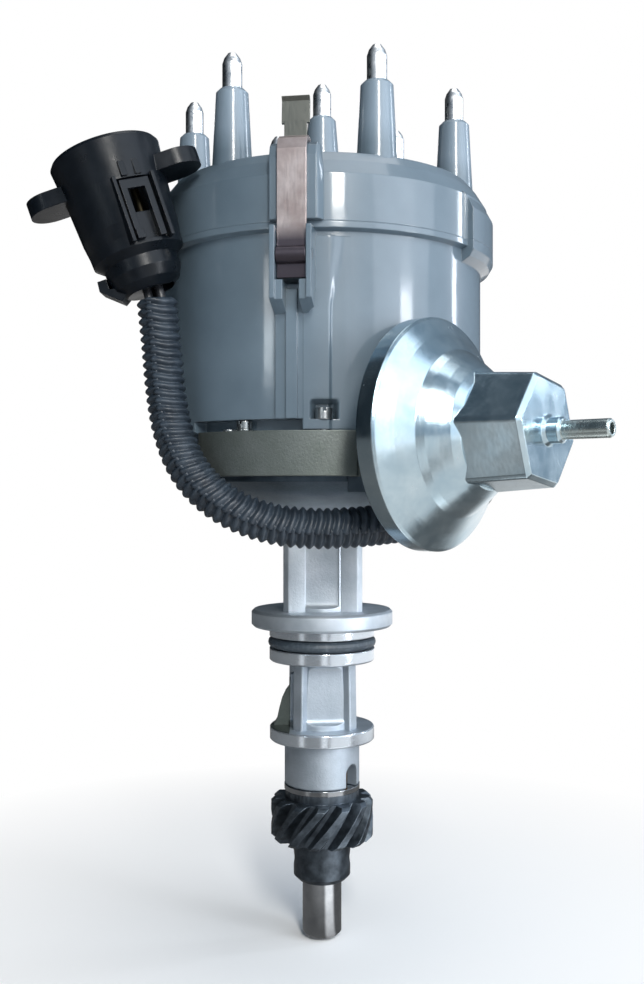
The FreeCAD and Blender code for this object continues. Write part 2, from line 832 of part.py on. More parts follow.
def weight_plate():
    centre = rod(weight_plate_radius, weight_plate_bottom_z, weight_plate_top_z)
    bar = front_block(weight_plate_bar, -pivot_circle, pivot_circle, weight_plate_bottom_z,
                      weight_plate_top_z, pivot_azimuth)
    ends = [rod(weight_plate_bar / 2, weight_plate_bottom_z, weight_plate_top_z, pivot.x, pivot.y)
            for pivot in advance_pivots()]
    posts = [rod(post_radius, weight_plate_bottom_z, spring_z + 1.0, plate_end.x, plate_end.y)
             for sleeve_end, plate_end in spring_post_places()]
    body = fused([centre, bar] + ends + posts)
    holes = [rod(shaft_radius, weight_plate_bottom_z - 1, weight_plate_top_z + 1)]
    holes += [rod(pivot_radius, weight_plate_bottom_z - 1, weight_plate_top_z + 1,
                  pivot.x, pivot.y) for pivot in advance_pivots()]
    return body.cut(holes)


def weight_pivot_pins():
    pins = [rod(pivot_radius, weight_plate_bottom_z, weight_top_z + 0.2, pivot.x, pivot.y)
            for pivot in advance_pivots()]
    return Part.makeCompound(pins)


def weight_peg_place(side, swing):
    """Where a weight's peg stands once the weight has swung out by an angle."""
    pivot = advance_pivots()[side]
    rest = polar(weight_peg_circle, pivot_azimuth + 180.0 * side + weight_peg_angle)
    angle = -math.radians(swing)
    across = rest - pivot
    return Vector(pivot.x + across.x * math.cos(angle) - across.y * math.sin(angle),
                  pivot.y + across.x * math.sin(angle) + across.y * math.cos(angle), 0)


def advance_weight(side):
    start = pivot_azimuth + 180.0 * side
    pivot = advance_pivots()[side]
    arm = ring_sector(weight_inner_radius, weight_outer_radius, weight_bottom_z, weight_top_z,
                      start + 14.0, start + weight_sweep)
    arm = arm.makeFillet(3.0, vertical_edges(arm, weight_bottom_z, weight_top_z))
    eye = ring_sector(pivot_circle - knuckle_radius, pivot_circle + knuckle_radius,
                      weight_bottom_z, weight_top_z, start, start + 22.0)
    knuckle = rod(knuckle_radius, weight_bottom_z, weight_top_z, pivot.x, pivot.y)
    rest = weight_peg_place(side, 0.0)
    peg = rod(weight_peg_radius, weight_bottom_z, cam_plate_top_z - 0.1, rest.x, rest.y)
    hole = rod(pivot_radius + pivot_clearance, weight_bottom_z - 1, weight_top_z + 1,
               pivot.x, pivot.y)
    return fused([arm, eye, knuckle, peg]).cut(hole)


def cam_slot(side):
    """The slot in the cam plate that one weight's peg slides along."""
    radius = weight_peg_radius + slot_clearance
    places = []
    for share in (0.0, 0.5, 1.0):
        peg = weight_peg_place(side, weight_swing * share)
        angle = math.radians(sleeve_advance * share)
        places.append(Vector(peg.x * math.cos(angle) - peg.y * math.sin(angle),
                             peg.x * math.sin(angle) + peg.y * math.cos(angle),
                             cam_plate_bottom_z - 1))
    height = cam_plate_thickness + 2
    parts = [Part.makeCylinder(radius, height, place) for place in places]
    for first, last in zip(places, places[1:]):
        along = last - first
        across = Vector(-along.y, along.x, 0).normalize() * radius
        corners = [first + across, last + across, last - across, first - across]
        parts.append(Part.Face(Part.makePolygon(corners + corners[:1]))
                     .extrude(Vector(0, 0, height)))
    return fused(parts)


def advance_sleeve():
    tube_body = rod(sleeve_outer_radius, cam_plate_bottom_z, sleeve_top_z)
    peg_azimuth = pivot_azimuth + weight_peg_angle
    plate = [rod(sleeve_post_circle, cam_plate_bottom_z, cam_plate_top_z)]
    plate.append(front_block(cam_arm_width, -cam_arm_reach, cam_arm_reach,
                             cam_plate_bottom_z, cam_plate_top_z, peg_azimuth))
    for sleeve_end, plate_end in spring_post_places():
        plate.append(rod(post_radius, spring_z - 1.0, cam_plate_top_z, sleeve_end.x, sleeve_end.y))
        plate.append(rod(post_radius + 1.6, cam_plate_bottom_z, cam_plate_top_z,
                         sleeve_end.x, sleeve_end.y))
    body = fused([tube_body] + plate)
    bore = rod(spindle_radius + running_clearance, cam_plate_bottom_z - 1, sleeve_top_z + 1)
    key = rod(reluctor_pin_radius, reluctor_bottom_z, sleeve_top_z + 1,
              0, -sleeve_outer_radius)
    return body.cut([bore, key] + [cam_slot(side) for side in range(2)])


def sleeve_retainer():
    """The wire clip that keeps the sleeve down on the spindle."""
    return tube(spindle_radius + 1.6, spindle_radius, sleeve_top_z + 0.3, sleeve_top_z + 1.3)


def spring_post_places():
    """Feet of the two posts that each advance spring hooks over."""
    pairs = []
    for side in range(2):
        turn = pivot_azimuth + 180.0 * side
        pairs.append((polar(sleeve_post_circle, turn + sleeve_post_angle, spring_z),
                      polar(plate_post_circle, turn + plate_post_angle, spring_z)))
    return pairs


def spring_hook(place):
    ring = rod(post_radius + hook_gap + 2 * spring_wire, place.z - spring_wire,
               place.z + spring_wire, place.x, place.y)
    return ring.cut(rod(post_radius + hook_gap, place.z - 1, place.z + 1, place.x, place.y))


def weight_springs():
    """Two close-wound extension springs with a loop at each end."""
    springs = []
    for sleeve_end, plate_end in spring_post_places():
        along = (plate_end - sleeve_end).normalize()
        reach = post_radius + hook_gap + 2 * spring_wire - 0.1
        start = sleeve_end + along * reach
        length = (plate_end - sleeve_end).Length - 2 * reach
        coil = Part.makeCylinder(spring_coil_radius, length, start, along)
        springs.append(fused([coil, spring_hook(sleeve_end), spring_hook(plate_end)]))
    return Part.makeCompound(springs)


# Base plate, pickup plate and reluctor

def base_plate():
    plate = rod(base_plate_radius, base_plate_z, base_plate_top_z)
    collar = rod(base_plate_collar_radius, base_plate_z, base_plate_collar_top_z)
    body = fused([plate, collar])
    cutters = [rod(base_plate_bore, base_plate_z - 1, base_plate_collar_top_z + 1)]
    for azimuth in plate_screw_azimuths:
        cutters.append(rod_at(plate_screw_radius, base_plate_z - 1, base_plate_top_z + 1,
                              plate_screw_circle, azimuth))
    cutters.append(front_block(lead_notch_width, base_plate_radius - lead_notch_depth,
                               base_plate_radius + 5, base_plate_z - 1, base_plate_top_z + 1,
                               grommet_azimuth))
    return body.cut(cutters)


def plate_screws():
    screws = []
    top = base_plate_top_z + plate_screw_head_height
    for azimuth in plate_screw_azimuths:
        shank = rod_at(plate_screw_radius, base_plate_z, base_plate_top_z, plate_screw_circle,
                       azimuth)
        head = rod_at(plate_screw_head_radius, base_plate_top_z, top, plate_screw_circle, azimuth)
        slot = front_block(plate_screw_slot, plate_screw_circle - 4, plate_screw_circle + 4,
                           top - 0.8, top + 1, azimuth)
        screws.append(fused([shank, head]).cut(slot))
    return Part.makeCompound(screws)


def rod_pin_place():
    """The pin of the pickup plate at rest, half its travel short of the middle."""
    half = abs(canister_offset) * math.sin(math.radians(stator_advance / 2))
    return canister_point(-half, canister_offset, 0)


def pickup_plate():
    plate = rod(pickup_plate_radius, pickup_plate_bottom_z, pickup_plate_top_z)
    bore = rod(base_plate_collar_radius + pickup_plate_clearance, pickup_plate_bottom_z - 1,
               pickup_plate_top_z + 1)
    pin_place = rod_pin_place()
    pin = rod(rod_pin_radius, pickup_plate_bottom_z, rod_z + rod_thickness + 1.2,
              pin_place.x, pin_place.y)
    return fused([plate, pin]).cut(bore)


def plate_retaining_ring():
    return tube(base_plate_collar_radius + 1.3, base_plate_collar_radius,
                pickup_plate_top_z + 0.1, base_plate_collar_top_z - 0.1)


def reluctor():
    hub = rod(reluctor_hub_radius, reluctor_bottom_z, reluctor_bottom_z + reluctor_height)
    teeth = []
    for tooth in range(reluctor_teeth):
        teeth.append(front_block(reluctor_tooth_width, 6.0, reluctor_tip_radius,
                                 reluctor_bottom_z, reluctor_bottom_z + reluctor_height,
                                 tooth * 360.0 / reluctor_teeth))
    body = fused([hub] + teeth)
    top = reluctor_bottom_z + reluctor_height + 1
    bore = rod(sleeve_outer_radius, reluctor_bottom_z - 1, top)
    key = rod(reluctor_pin_radius, reluctor_bottom_z - 1, top, 0, -sleeve_outer_radius)
    return body.cut([bore, key])


def reluctor_roll_pin():
    return rod(reluctor_pin_radius, reluctor_bottom_z, reluctor_bottom_z + reluctor_height,
               0, -sleeve_outer_radius)


def pickup_block(width, near, far, low, high):
    """A block of the pickup, at a distance from the reluctor's tips."""
    face = reluctor_tip_radius + pickup_air_gap
    return front_block(width, face + near, face + far, low, high, pickup_azimuth)


def pickup_pole():
    """Bracket foot, upright and the pole that faces the reluctor's tips."""
    half = pickup_pole_side / 2
    back = pickup_coil_far + 0.4
    far = back + pickup_magnet_depth
    foot = pickup_block(pickup_bracket_width, 1.0, far + pickup_bracket_sheet,
                        pickup_plate_top_z, pickup_plate_top_z + 1.2)
    upright = pickup_block(pickup_bracket_width, far, far + pickup_bracket_sheet,
                           pickup_plate_top_z, pickup_pole_z + 4.0)
    pole = pickup_block(pickup_pole_side, 0.0, back, pickup_pole_z - half, pickup_pole_z + half)
    return fused([foot, upright]), pole


def pickup_magnet():
    back = pickup_coil_far + 0.4
    return pickup_block(pickup_magnet_width, back, back + pickup_magnet_depth, pickup_pole_z - 4.0,
                        pickup_pole_z + 3.6)


def pickup_coil():
    half = pickup_pole_side / 2
    outer = pickup_block(pickup_coil_width, pickup_coil_near, pickup_coil_far,
                         pickup_pole_z - pickup_coil_height / 2,
                         pickup_pole_z + pickup_coil_height / 2)
    hole = pickup_block(pickup_pole_side, 0.0, pickup_coil_far + 1.0, pickup_pole_z - half,
                        pickup_pole_z + half)
    return outer.cut(hole)


# Rotor

def rotor():
    stem_top_z = sleeve_top_z + 3
    stem = turned([
        (sleeve_outer_radius, rotor_seat_z), (rotor_hub_radius, rotor_seat_z),
        (rotor_hub_radius, stem_top_z), (rotor_stem_radius, stem_top_z + 8),
        (rotor_stem_radius, rotor_disc_z), (0, rotor_disc_z), (0, spindle_top_z + 0.8),
        (sleeve_outer_radius, spindle_top_z + 0.8)])
    disc = turned([
        (0, rotor_disc_z - 0.5), (rotor_disc_radius, rotor_disc_z - 0.5),
        (rotor_disc_radius, rotor_disc_z + rotor_disc_thickness),
        (0, rotor_disc_z + rotor_disc_thickness)])
    arm = front_block(rotor_arm_width, 0.0, rotor_arm_reach, rotor_disc_z,
                      rotor_disc_z + rotor_disc_thickness, rotor_azimuth)
    return fused([stem, disc, arm])


def rotor_tip_radius():
    return tower_circle - electrode_radius - rotor_tip_gap


def rotor_blade():
    low = rotor_disc_z + rotor_disc_thickness
    blade = front_block(rotor_blade_width, 2.0, rotor_tip_radius(), low,
                        low + rotor_blade_thickness, rotor_azimuth)
    tip = front_block(rotor_blade_width, rotor_tip_radius() - rotor_tip_depth, rotor_tip_radius(),
                      low - 1.5, low + 4.5, rotor_azimuth)
    return fused([blade, tip])


def rotor_contact_spring():
    """The leaf that carries the spark from the centre button to the blade."""
    low = rotor_disc_z + rotor_disc_thickness + rotor_blade_thickness
    side = -contact_width / 2
    outline = [(-contact_foot, low), (-contact_heel, low), (3.0, contact_top_z - contact_sheet),
               (3.0, contact_top_z), (-contact_heel, low + contact_sheet),
               (-contact_foot, low + contact_sheet)]
    points = [Vector(side, reach, height) for reach, height in outline]
    face = Part.Face(Part.makePolygon(points + points[:1]))
    return turn_to(face.extrude(Vector(contact_width, 0, 0)), rotor_azimuth)


# Adapter

def clip_bracket(azimuth):
    """Two ears and the block between their feet, which carry one clip's pin."""
    inner = adapter_inner_radius + 1
    foot_z = ear_bottom_z - ear_slope
    outline = [(inner, foot_z), (adapter_radius, foot_z), (ear_reach, ear_bottom_z),
               (ear_reach, adapter_flange_bottom_z), (inner, adapter_flange_bottom_z)]
    front = ear_reach - 0.8
    block_outline = [(inner, foot_z), (adapter_radius, foot_z), (front, ear_bottom_z - 0.3),
                     (front, bracket_block_top_z), (inner, bracket_block_top_z)]
    pieces = [side_plate(block_outline, ear_gap + 0.2, azimuth)]
    for side in (-1, 1):
        ear = side_plate(outline, ear_thickness)
        ear.translate(Vector(side * (ear_gap + ear_thickness) / 2, 0, 0))
        pieces.append(turn_to(ear, azimuth))
    return pieces


def clip_room(azimuth):
    """The pocket behind the clip's eye and the channel through the block below it."""
    pocket = front_block(ear_gap, adapter_radius - bracket_pocket_depth, ear_reach + 1,
                         bracket_block_top_z, adapter_flange_bottom_z, azimuth)
    channel = front_block(bracket_channel_width, adapter_radius + pilaster_proud, ear_reach + 1,
                          ear_bottom_z - ear_slope - 1, bracket_block_top_z + 1, azimuth)
    return [pocket, channel]


def clip_pin_rod(radius, half_length, azimuth):
    pin = Part.makeCylinder(radius, 2 * half_length,
                            Vector(-half_length, -clip_pivot_radius, clip_pivot_z),
                            Vector(1, 0, 0))
    return turn_to(pin, azimuth)


def adapter_lug():
    return sector([(adapter_inner_radius + 1, joint_z - lug_drop - 1.5),
                   (adapter_radius, joint_z - lug_drop - 1.5),
                   (lug_radius - 1.2, joint_z - lug_drop), (lug_radius, joint_z - lug_drop + 2.0),
                   (lug_radius, joint_z), (adapter_inner_radius + 1, joint_z)],
                  lug_start, lug_end)


def adapter_ring():
    body = turned([
        (adapter_foot_inner_radius, bowl_rim_z), (adapter_radius, bowl_rim_z),
        (adapter_radius, adapter_flange_bottom_z),
        (adapter_flange_radius, adapter_flange_bottom_z + 0.6),
        (adapter_flange_radius, joint_z), (adapter_inner_radius, joint_z),
        (adapter_inner_radius, adapter_foot_top_z),
        (adapter_foot_inner_radius, adapter_foot_top_z)])
    brackets = []
    rooms = []
    for azimuth in clip_azimuths:
        brackets += clip_bracket(azimuth)
        rooms += clip_room(azimuth)
    pilaster = ring_sector(adapter_radius - 1, adapter_radius + pilaster_proud, relief_top_z,
                           ear_bottom_z, pilaster_start, pilaster_end)
    body = fused([body, adapter_lug(), pilaster] + brackets).cut(rooms)
    rib = front_block(rib_width, adapter_radius - 1, adapter_radius + rib_proud, relief_top_z,
                      bracket_block_top_z - 1.5, rib_azimuth)
    body = body.fuse(rib)
    cutters = [ring_sector(relief_radius, adapter_radius + pilaster_proud + 2, bowl_rim_z - 1,
                           relief_top_z, relief_start, relief_end)]
    for azimuth in adapter_screw_azimuths:
        cutters.append(rod_at(flute_radius, adapter_foot_top_z, flute_top_z, flute_circle, azimuth))
        top = polar(flute_circle, azimuth, flute_top_z)
        cutters.append(Part.makeSphere(flute_radius, top))
        cutters.append(rod_at(adapter_screw_radius, bowl_rim_z - 1, adapter_foot_top_z + 1,
                              adapter_screw_circle, azimuth))
    for azimuth in clip_azimuths:
        cutters.append(clip_pin_rod(clip_pin_radius, ear_gap, azimuth))
    cutters.append(rod_window(bowl_rim_z - 1, rod_z + rod_thickness + rod_window_low + 0.4))
    return body.cut(cutters)


def adapter_screws():
    screws = []
    top = adapter_foot_top_z + adapter_screw_head_height
    for azimuth in adapter_screw_azimuths:
        shank = rod_at(adapter_screw_radius, bowl_rim_z - adapter_screw_depth,
                       adapter_foot_top_z, adapter_screw_circle, azimuth)
        head = rod_at(adapter_screw_head_radius, adapter_foot_top_z, top, adapter_screw_circle,
                      azimuth)
        slot = front_block(adapter_screw_slot, adapter_screw_circle - 4, adapter_screw_circle + 4,
                           top - 1.0, top + 1, azimuth)
        screws.append(fused([shank, head]).cut(slot))
    return Part.makeCompound(screws)


def ground_screw():
    seat = bowl_rim_z + ground_washer_thickness
    shank = rod_at(ground_screw_radius, bowl_rim_z - ground_screw_depth, seat, ground_screw_circle,
                   ground_screw_azimuth)
    head = rod_at(ground_head_radius, seat, seat + ground_head_height, ground_screw_circle,
                  ground_screw_azimuth)
    slot = front_block(0.7, ground_screw_circle - 4, ground_screw_circle + 4,
                       seat + ground_head_height - 0.7, seat + ground_head_height + 1,
                       ground_screw_azimuth)
    return fused([shank, head]).cut(slot)


def ground_washer():
    """The ring of a lead's terminal under the screw, with the tag beside it."""
    top = bowl_rim_z + ground_washer_thickness
    ring = rod_at(ground_washer_radius, bowl_rim_z, top, ground_screw_circle, ground_screw_azimuth)
    tag = rod_at(ground_tag_radius, bowl_rim_z, top, ground_screw_circle, ground_tag_azimuth)
    neck = ring_sector(ground_screw_circle - 0.9, ground_screw_circle + 0.9, bowl_rim_z, top,
                       ground_tag_azimuth, ground_screw_azimuth)
    hole = rod_at(ground_screw_radius, bowl_rim_z - 1, top + 1, ground_screw_circle,
                  ground_screw_azimuth)
    return fused([ring, tag, neck]).cut(hole)


# Cap

def cap_shell():
    return turned([
        (cap_inner_radius, joint_z), (cap_radius, joint_z), (cap_radius, cap_shoulder_z),
        (cap_break_radius, cap_break_z), (cap_top_radius, cap_top_z),
        (cap_crown_radius, cap_crown_z), (0, cap_crown_z), (0, cap_ceiling_z),
        (cap_inner_radius - 3, cap_ceiling_z), (cap_inner_radius, cap_ceiling_z - 3)])


def tower(foot_radius, top_radius, foot_z, top_z):
    """A tapered tower with a bevelled shoulder round its top."""
    return turned([(0, foot_z), (foot_radius, foot_z), (top_radius, top_z - tower_edge),
                   (top_radius - tower_edge, top_z), (0, top_z)])


def cap_tower(azimuth):
    shape = tower(tower_foot_radius, tower_top_radius, cap_top_z - 1.0, tower_top_z)
    shape.translate(polar(tower_circle, azimuth))
    return shape


def centre_tower():
    return tower(centre_tower_foot_radius, centre_tower_top_radius, cap_crown_z - 1.5,
                 centre_tower_top_z)


def cap_boss(azimuth):
    """The block on the cap that a clip bends over, with a notch for the clip's nose."""
    inner = clip_tab_radius - 5.0
    top = cap_boss_top_z
    notch_low = clip_tab_radius - cap_notch_half_width
    notch_high = clip_tab_radius + cap_notch_half_width
    outline = [(inner, joint_z + 8.0), (cap_inner_radius + 0.5, joint_z),
               (cap_boss_radius, joint_z), (cap_boss_radius, top - 4.4),
               (cap_boss_radius - 1.3, top - 1.3), (cap_boss_radius - 3.4, top),
               (notch_high, top), (notch_high - 0.3, top - cap_notch_depth),
               (notch_low, top - cap_notch_depth), (inner + 1.0, top - cap_notch_depth),
               (inner, top - cap_boss_rise - 1.0)]
    return side_plate(outline, cap_boss_width, azimuth)


def cap_hollow():
    """The inside of the cap, which its bosses and lug stay clear of."""
    return turned([
        (0, joint_z - 5), (cap_inner_radius, joint_z - 5), (cap_inner_radius, cap_ceiling_z - 3),
        (cap_inner_radius - 3, cap_ceiling_z), (0, cap_ceiling_z)])


def cap_lug():
    shape = sector([(cap_inner_radius + 1, joint_z), (lug_radius, joint_z),
                    (lug_radius, cap_shoulder_z - 4), (cap_break_radius, cap_break_z),
                    (cap_inner_radius + 1, cap_break_z - 1)], lug_start, lug_end)
    return shape


def cap_lip():
    """The lip that centres the cap in the adapter."""
    inner = adapter_inner_radius - cap_lip_wall
    return turned([
        (inner, joint_z - cap_lip_depth), (adapter_inner_radius - cap_lip_gap, joint_z - cap_lip_depth),
        (adapter_inner_radius - cap_lip_gap, joint_z), (cap_inner_radius + 0.5, joint_z),
        (cap_inner_radius + 0.5, joint_z + 1.5), (inner, joint_z + 0.5)])


def distributor_cap():
    bosses = [cap_boss(azimuth) for azimuth in clip_azimuths]
    body = fused([cap_shell(), cap_lug()] + bosses).cut(cap_hollow())
    parts = [body, centre_tower(), cap_lip()] + [cap_tower(azimuth) for azimuth in tower_azimuths]
    for azimuth in tower_azimuths:
        parts.append(rod_at(electrode_radius + electrode_collar, cap_ceiling_z - 4.0,
                            cap_ceiling_z + 0.5, tower_circle, azimuth))
    parts.append(rod(button_radius * 2, cap_ceiling_z - 3.0, cap_ceiling_z + 0.5))
    cutters = [terminal_hole(azimuth) for azimuth in tower_azimuths]
    cutters.append(rod(terminal_stem_radius, cap_ceiling_z - 5, centre_tower_top_z + 1))
    cutters.append(rod(button_radius, cap_ceiling_z - 5, button_top_z))
    cutters.append(rod_at(lug_groove_radius, joint_z - 1, cap_shoulder_z + 0.5,
                          cap_radius + 0.4, lug_groove_azimuth))
    return fused(parts).cut(cutters)


def terminal_hole(azimuth):
    stem = rod_at(terminal_stem_radius, cap_ceiling_z - 5, tower_top_z + 1, tower_circle, azimuth)
    seat = rod_at(electrode_radius, cap_ceiling_z - 5, cap_ceiling_z + 0.5, tower_circle, azimuth)
    return fused([stem, seat])


def bullet(base_z):
    """The bright male terminal on a tower: a short barrel with a rounded nose."""
    shoulder = base_z + terminal_barrel
    tip = shoulder + terminal_nose
    return turned([
        (0, base_z), (terminal_radius, base_z), (terminal_radius, shoulder),
        (terminal_radius * 0.82, shoulder + terminal_nose * 0.45),
        (terminal_radius * 0.45, shoulder + terminal_nose * 0.87), (0, tip)])


def tower_terminals():
    pieces = []
    for azimuth in tower_azimuths:
        nose = bullet(tower_top_z)
        nose.translate(polar(tower_circle, azimuth))
        stem = rod_at(terminal_stem_radius, cap_ceiling_z, tower_top_z, tower_circle, azimuth)
        electrode = rod_at(electrode_radius, electrode_bottom_z, cap_ceiling_z + 0.5,
                           tower_circle, azimuth)
        pieces.append(fused([nose, stem, electrode]))
    return Part.makeCompound(pieces)


def centre_terminal():
    stem = rod(terminal_stem_radius, button_top_z, centre_tower_top_z)
    return fused([bullet(centre_tower_top_z), stem])


def carbon_button():
    return turned([(0, button_bottom_z), (button_radius - 1.3, button_bottom_z),
                   (button_radius, button_bottom_z + 1.3), (button_radius, button_top_z),
                   (0, button_top_z)])


# Spring clips

def spring_clip(azimuth):
    """One sheet clip: tail, eye, strap, bend over the cap's boss, nose and finger tab."""
    outer = clip_outer_radius
    inner = clip_inner_radius
    sheet = clip_sheet
    top = clip_bend_z
    eye_radius = clip_pin_radius + clip_eye_clearance + sheet
    eye = Part.makeCylinder(eye_radius, clip_width,
                            Vector(-clip_width / 2, -clip_pivot_radius, clip_pivot_z),
                            Vector(1, 0, 0))
    tab_front = clip_tab_radius + sheet / 2
    tab_back = clip_tab_radius - sheet / 2
    strap = side_plate([(inner, clip_pivot_z + 1.0), (outer, clip_pivot_z + 1.0),
                        (outer, top - 4.6), (outer - 1.4, top - 1.4), (outer - 4.2, top),
                        (tab_back, top), (tab_back, top - sheet), (inner - 3.6, top - sheet),
                        (inner - 1.1, top - 2.4), (inner, top - 5.0)], clip_width)
    neck_z = top + clip_tab_neck_height
    neck = side_plate([(tab_back, clip_nose_z), (tab_front, clip_nose_z), (tab_front, neck_z),
                       (tab_back, neck_z)], clip_tab_neck_width)
    tab_z = top + clip_tab_height
    tab = side_plate([(tab_back, neck_z - 0.5), (tab_front, neck_z - 0.5),
                      (tab_front - 0.6, tab_z - 1.2), (tab_front + 0.2, tab_z),
                      (tab_back + 0.2, tab_z), (tab_back - 0.6, tab_z - 1.2)], clip_tab_width)
    tail_z = clip_pivot_z - clip_tail_drop
    tail = side_plate([(inner, clip_pivot_z - 1.0), (outer, clip_pivot_z - 1.0),
                       (outer - 0.4, tail_z), (inner - 0.4, tail_z)], clip_width)
    body = fused([eye, strap, neck, tab, tail])
    bore = Part.makeCylinder(clip_pin_radius + clip_eye_clearance, clip_width + 2,
                             Vector(-clip_width / 2 - 1, -clip_pivot_radius, clip_pivot_z),
                             Vector(1, 0, 0))
    return turn_to(body.cut(bore), azimuth)


def clip_pins():
    half = ear_gap / 2 + ear_thickness
    return Part.makeCompound([clip_pin_rod(clip_pin_radius, half, azimuth)
                              for azimuth in clip_azimuths])


# Vacuum canister, drawn along +Z from the front plane of its rim and then placed

def hexagon(back_radius, front_radius, back, front):
    wires = [regular_polygon(6, back_radius, back, hex_turn),
             regular_polygon(6, front_radius, front, hex_turn)]
    return Part.makeLoft(wires, True, True)


def vacuum_front_shell():
    outer = turned([(0, canister_lip_back), (canister_radius, canister_lip_back),
                    (canister_radius, -0.7), (canister_radius - 0.7, 0)] + list(dish_profile)
                   + [(hex_back_radius - 2, hex_back + 1), (0, hex_back + 1)])
    hex_body = hexagon(hex_back_radius, hex_front_radius, hex_back - 3.0, hex_front)
    side_edges = [edge for edge in hex_body.Edges if edge.BoundBox.ZLength > 5]
    hex_body = hex_body.makeFillet(hex_edge_radius, side_edges)
    front_edges = [edge for edge in hex_body.Edges if edge.BoundBox.ZMin > hex_front - 0.01]
    hex_body = hex_body.makeChamfer(hex_front_bevel, front_edges)
    boss = turned([(0, hex_front - 1), (nozzle_boss_radius + 0.8, hex_front - 1),
                   (nozzle_boss_radius + 0.8, hex_front), (nozzle_boss_radius, hex_front + 0.9),
                   (nozzle_boss_radius, hex_front + nozzle_boss_length - 0.6),
                   (nozzle_boss_radius - 0.6, hex_front + nozzle_boss_length),
                   (0, hex_front + nozzle_boss_length)])
    body = fused([outer, hex_body, boss])
    inside = ([(0, canister_lip_back - 1), (crimp_profile[0][0], canister_lip_back - 1)]
              + list(crimp_profile) + list(dish_inside) + [(0, dish_inside[-1][1])])
    hollow = hexagon(hex_back_radius - hex_wall, hex_front_radius - hex_wall,
                     dish_inside[-1][1] - 1, hex_front - 2.0)
    bore = rod(nipple_root_radius, hex_front - 3, hex_front + nozzle_boss_length + 1)
    return placed(body.cut([turned(inside), hollow, bore]), canister_frame)


def vacuum_nipple():
    boss_top = hex_front + nozzle_boss_length
    body = turned([
        (nipple_bore, hex_front - 2), (nipple_root_radius, hex_front - 2),
        (nipple_root_radius, boss_top), (nipple_radius, boss_top),
        (nipple_radius, nipple_tip - 0.5), (nipple_radius - 0.4, nipple_tip),
        (nipple_bore, nipple_tip)])
    return placed(body, canister_frame)


def vacuum_back_shell():
    """The flat back of the canister, with the tongue that screws to the bowl."""
    disc = rod(back_disc_radius, back_disc_low, back_disc_high)
    disc = disc.cut(rod(plunger_radius + 0.4, back_disc_low - 1, back_disc_high + 1))
    disc = placed(disc, canister_frame)
    back = canister_face + back_disc_low
    tongue = canister_block(bowl_radius - 0.3, back + 0.4, bracket_side_low, bracket_side_high,
                            bracket_low_z, bracket_low_z + bracket_sheet)
    wall_notch = rod(bowl_radius + 0.05, bracket_low_z - 1, bracket_low_z + bracket_sheet + 1)
    body = fused([disc, tongue.cut(wall_notch)])
    holes = []
    for offset in bracket_screw_offsets:
        place = bracket_screw_place(offset)
        holes.append(rod(bracket_screw_radius, bracket_low_z - 1,
                         bracket_low_z + bracket_sheet + 1, place.x, place.y))
    return body.cut(holes)


def bracket_screws():
    screws = []
    for offset in bracket_screw_offsets:
        place = bracket_screw_place(offset)
        top = bracket_low_z + bracket_sheet
        shank = rod(bracket_screw_radius, bracket_low_z - bracket_screw_depth, top, place.x, place.y)
        head = rod(bracket_head_radius, top, top + bracket_head_height, place.x, place.y)
        screws.append(fused([shank, head]))
    return Part.makeCompound(screws)


def vacuum_diaphragm():
    return placed(turned(diaphragm_profile), canister_frame)


def diaphragm_spring():
    low = -0.2
    high = hex_front - 2.6
    helix = Part.makeHelix((high - low) / spring_turns, high - low, spring_radius)
    section = regular_polygon(4, spring_wire_half, 0, 45.0)
    section.rotate(Vector(), Vector(1, 0, 0), 90)
    section.translate(Vector(spring_radius, 0, 0))
    coil = Part.Wire(helix).makePipeShell([section], True, True)
    coil.translate(Vector(0, 0, low))
    return placed(coil, canister_frame)


def vacuum_rod():
    """The diaphragm's plunger and the flat link that hooks over the pickup plate's pin."""
    pin = rod_pin_place()
    pin_out = pin.x * canister_out.x + pin.y * canister_out.y
    half = rod_width / 2
    link = canister_block(pin_out, canister_face - 8.0, canister_offset - half, canister_offset + half,
                          rod_z, rod_z + rod_thickness)
    eye = rod(half, rod_z, rod_z + rod_thickness, pin.x, pin.y)
    hole = rod(rod_pin_radius + rod_pin_clearance, rod_z - 1, rod_z + rod_thickness + 1,
               pin.x, pin.y)
    plunger = turned([(0, plunger_back), (plunger_radius, plunger_back), (plunger_radius, -3.3),
                      (6.0, -3.3), (6.0, -2.4), (2.9, -2.4), (2.9, -1.6), (13.0, -1.6), (13.0, -0.8),
                      (0, -0.8)])
    plunger = placed(plunger, canister_frame)
    return fused([link, eye, plunger]).cut(hole)


# Lead, loom and connector

def tube_along(points, radius):
    """A round tube along straight runs that are joined by tangent arcs."""
    places = [Vector(*point) for point in points]
    edges = []
    start = places[0]
    for before, corner, after in zip(places, places[1:], places[2:]):
        incoming = (corner - before).normalize()
        outgoing = (after - corner).normalize()
        half_turn = incoming.getAngle(outgoing) / 2
        setback = 0.45 * min((corner - before).Length, (after - corner).Length)
        bend = setback / math.tan(half_turn)
        first = corner - incoming * setback
        last = corner + outgoing * setback
        inward = (outgoing - incoming).normalize()
        middle = corner + inward * (bend / math.cos(half_turn) - bend)
        edges.append(Part.makeLine(start, first))
        edges.append(Part.Arc(first, middle, last).toShape())
        start = last
    edges.append(Part.makeLine(start, places[-1]))
    direction = (places[1] - places[0]).normalize()
    profile = Part.Wire(Part.makeCircle(radius, places[0], direction))
    return Part.Wire(edges).makePipeShell([profile], True, False)


def lead_loom():
    return tube_along(loom_points, loom_radius)


def offset_points(points, offset):
    return [tuple(value + shift for value, shift in zip(point, offset)) for point in points]


def pickup_leads():
    """The wires from the loom to the bowl, in one sheath."""
    return tube_along(pickup_lead_points, sheath_radius)


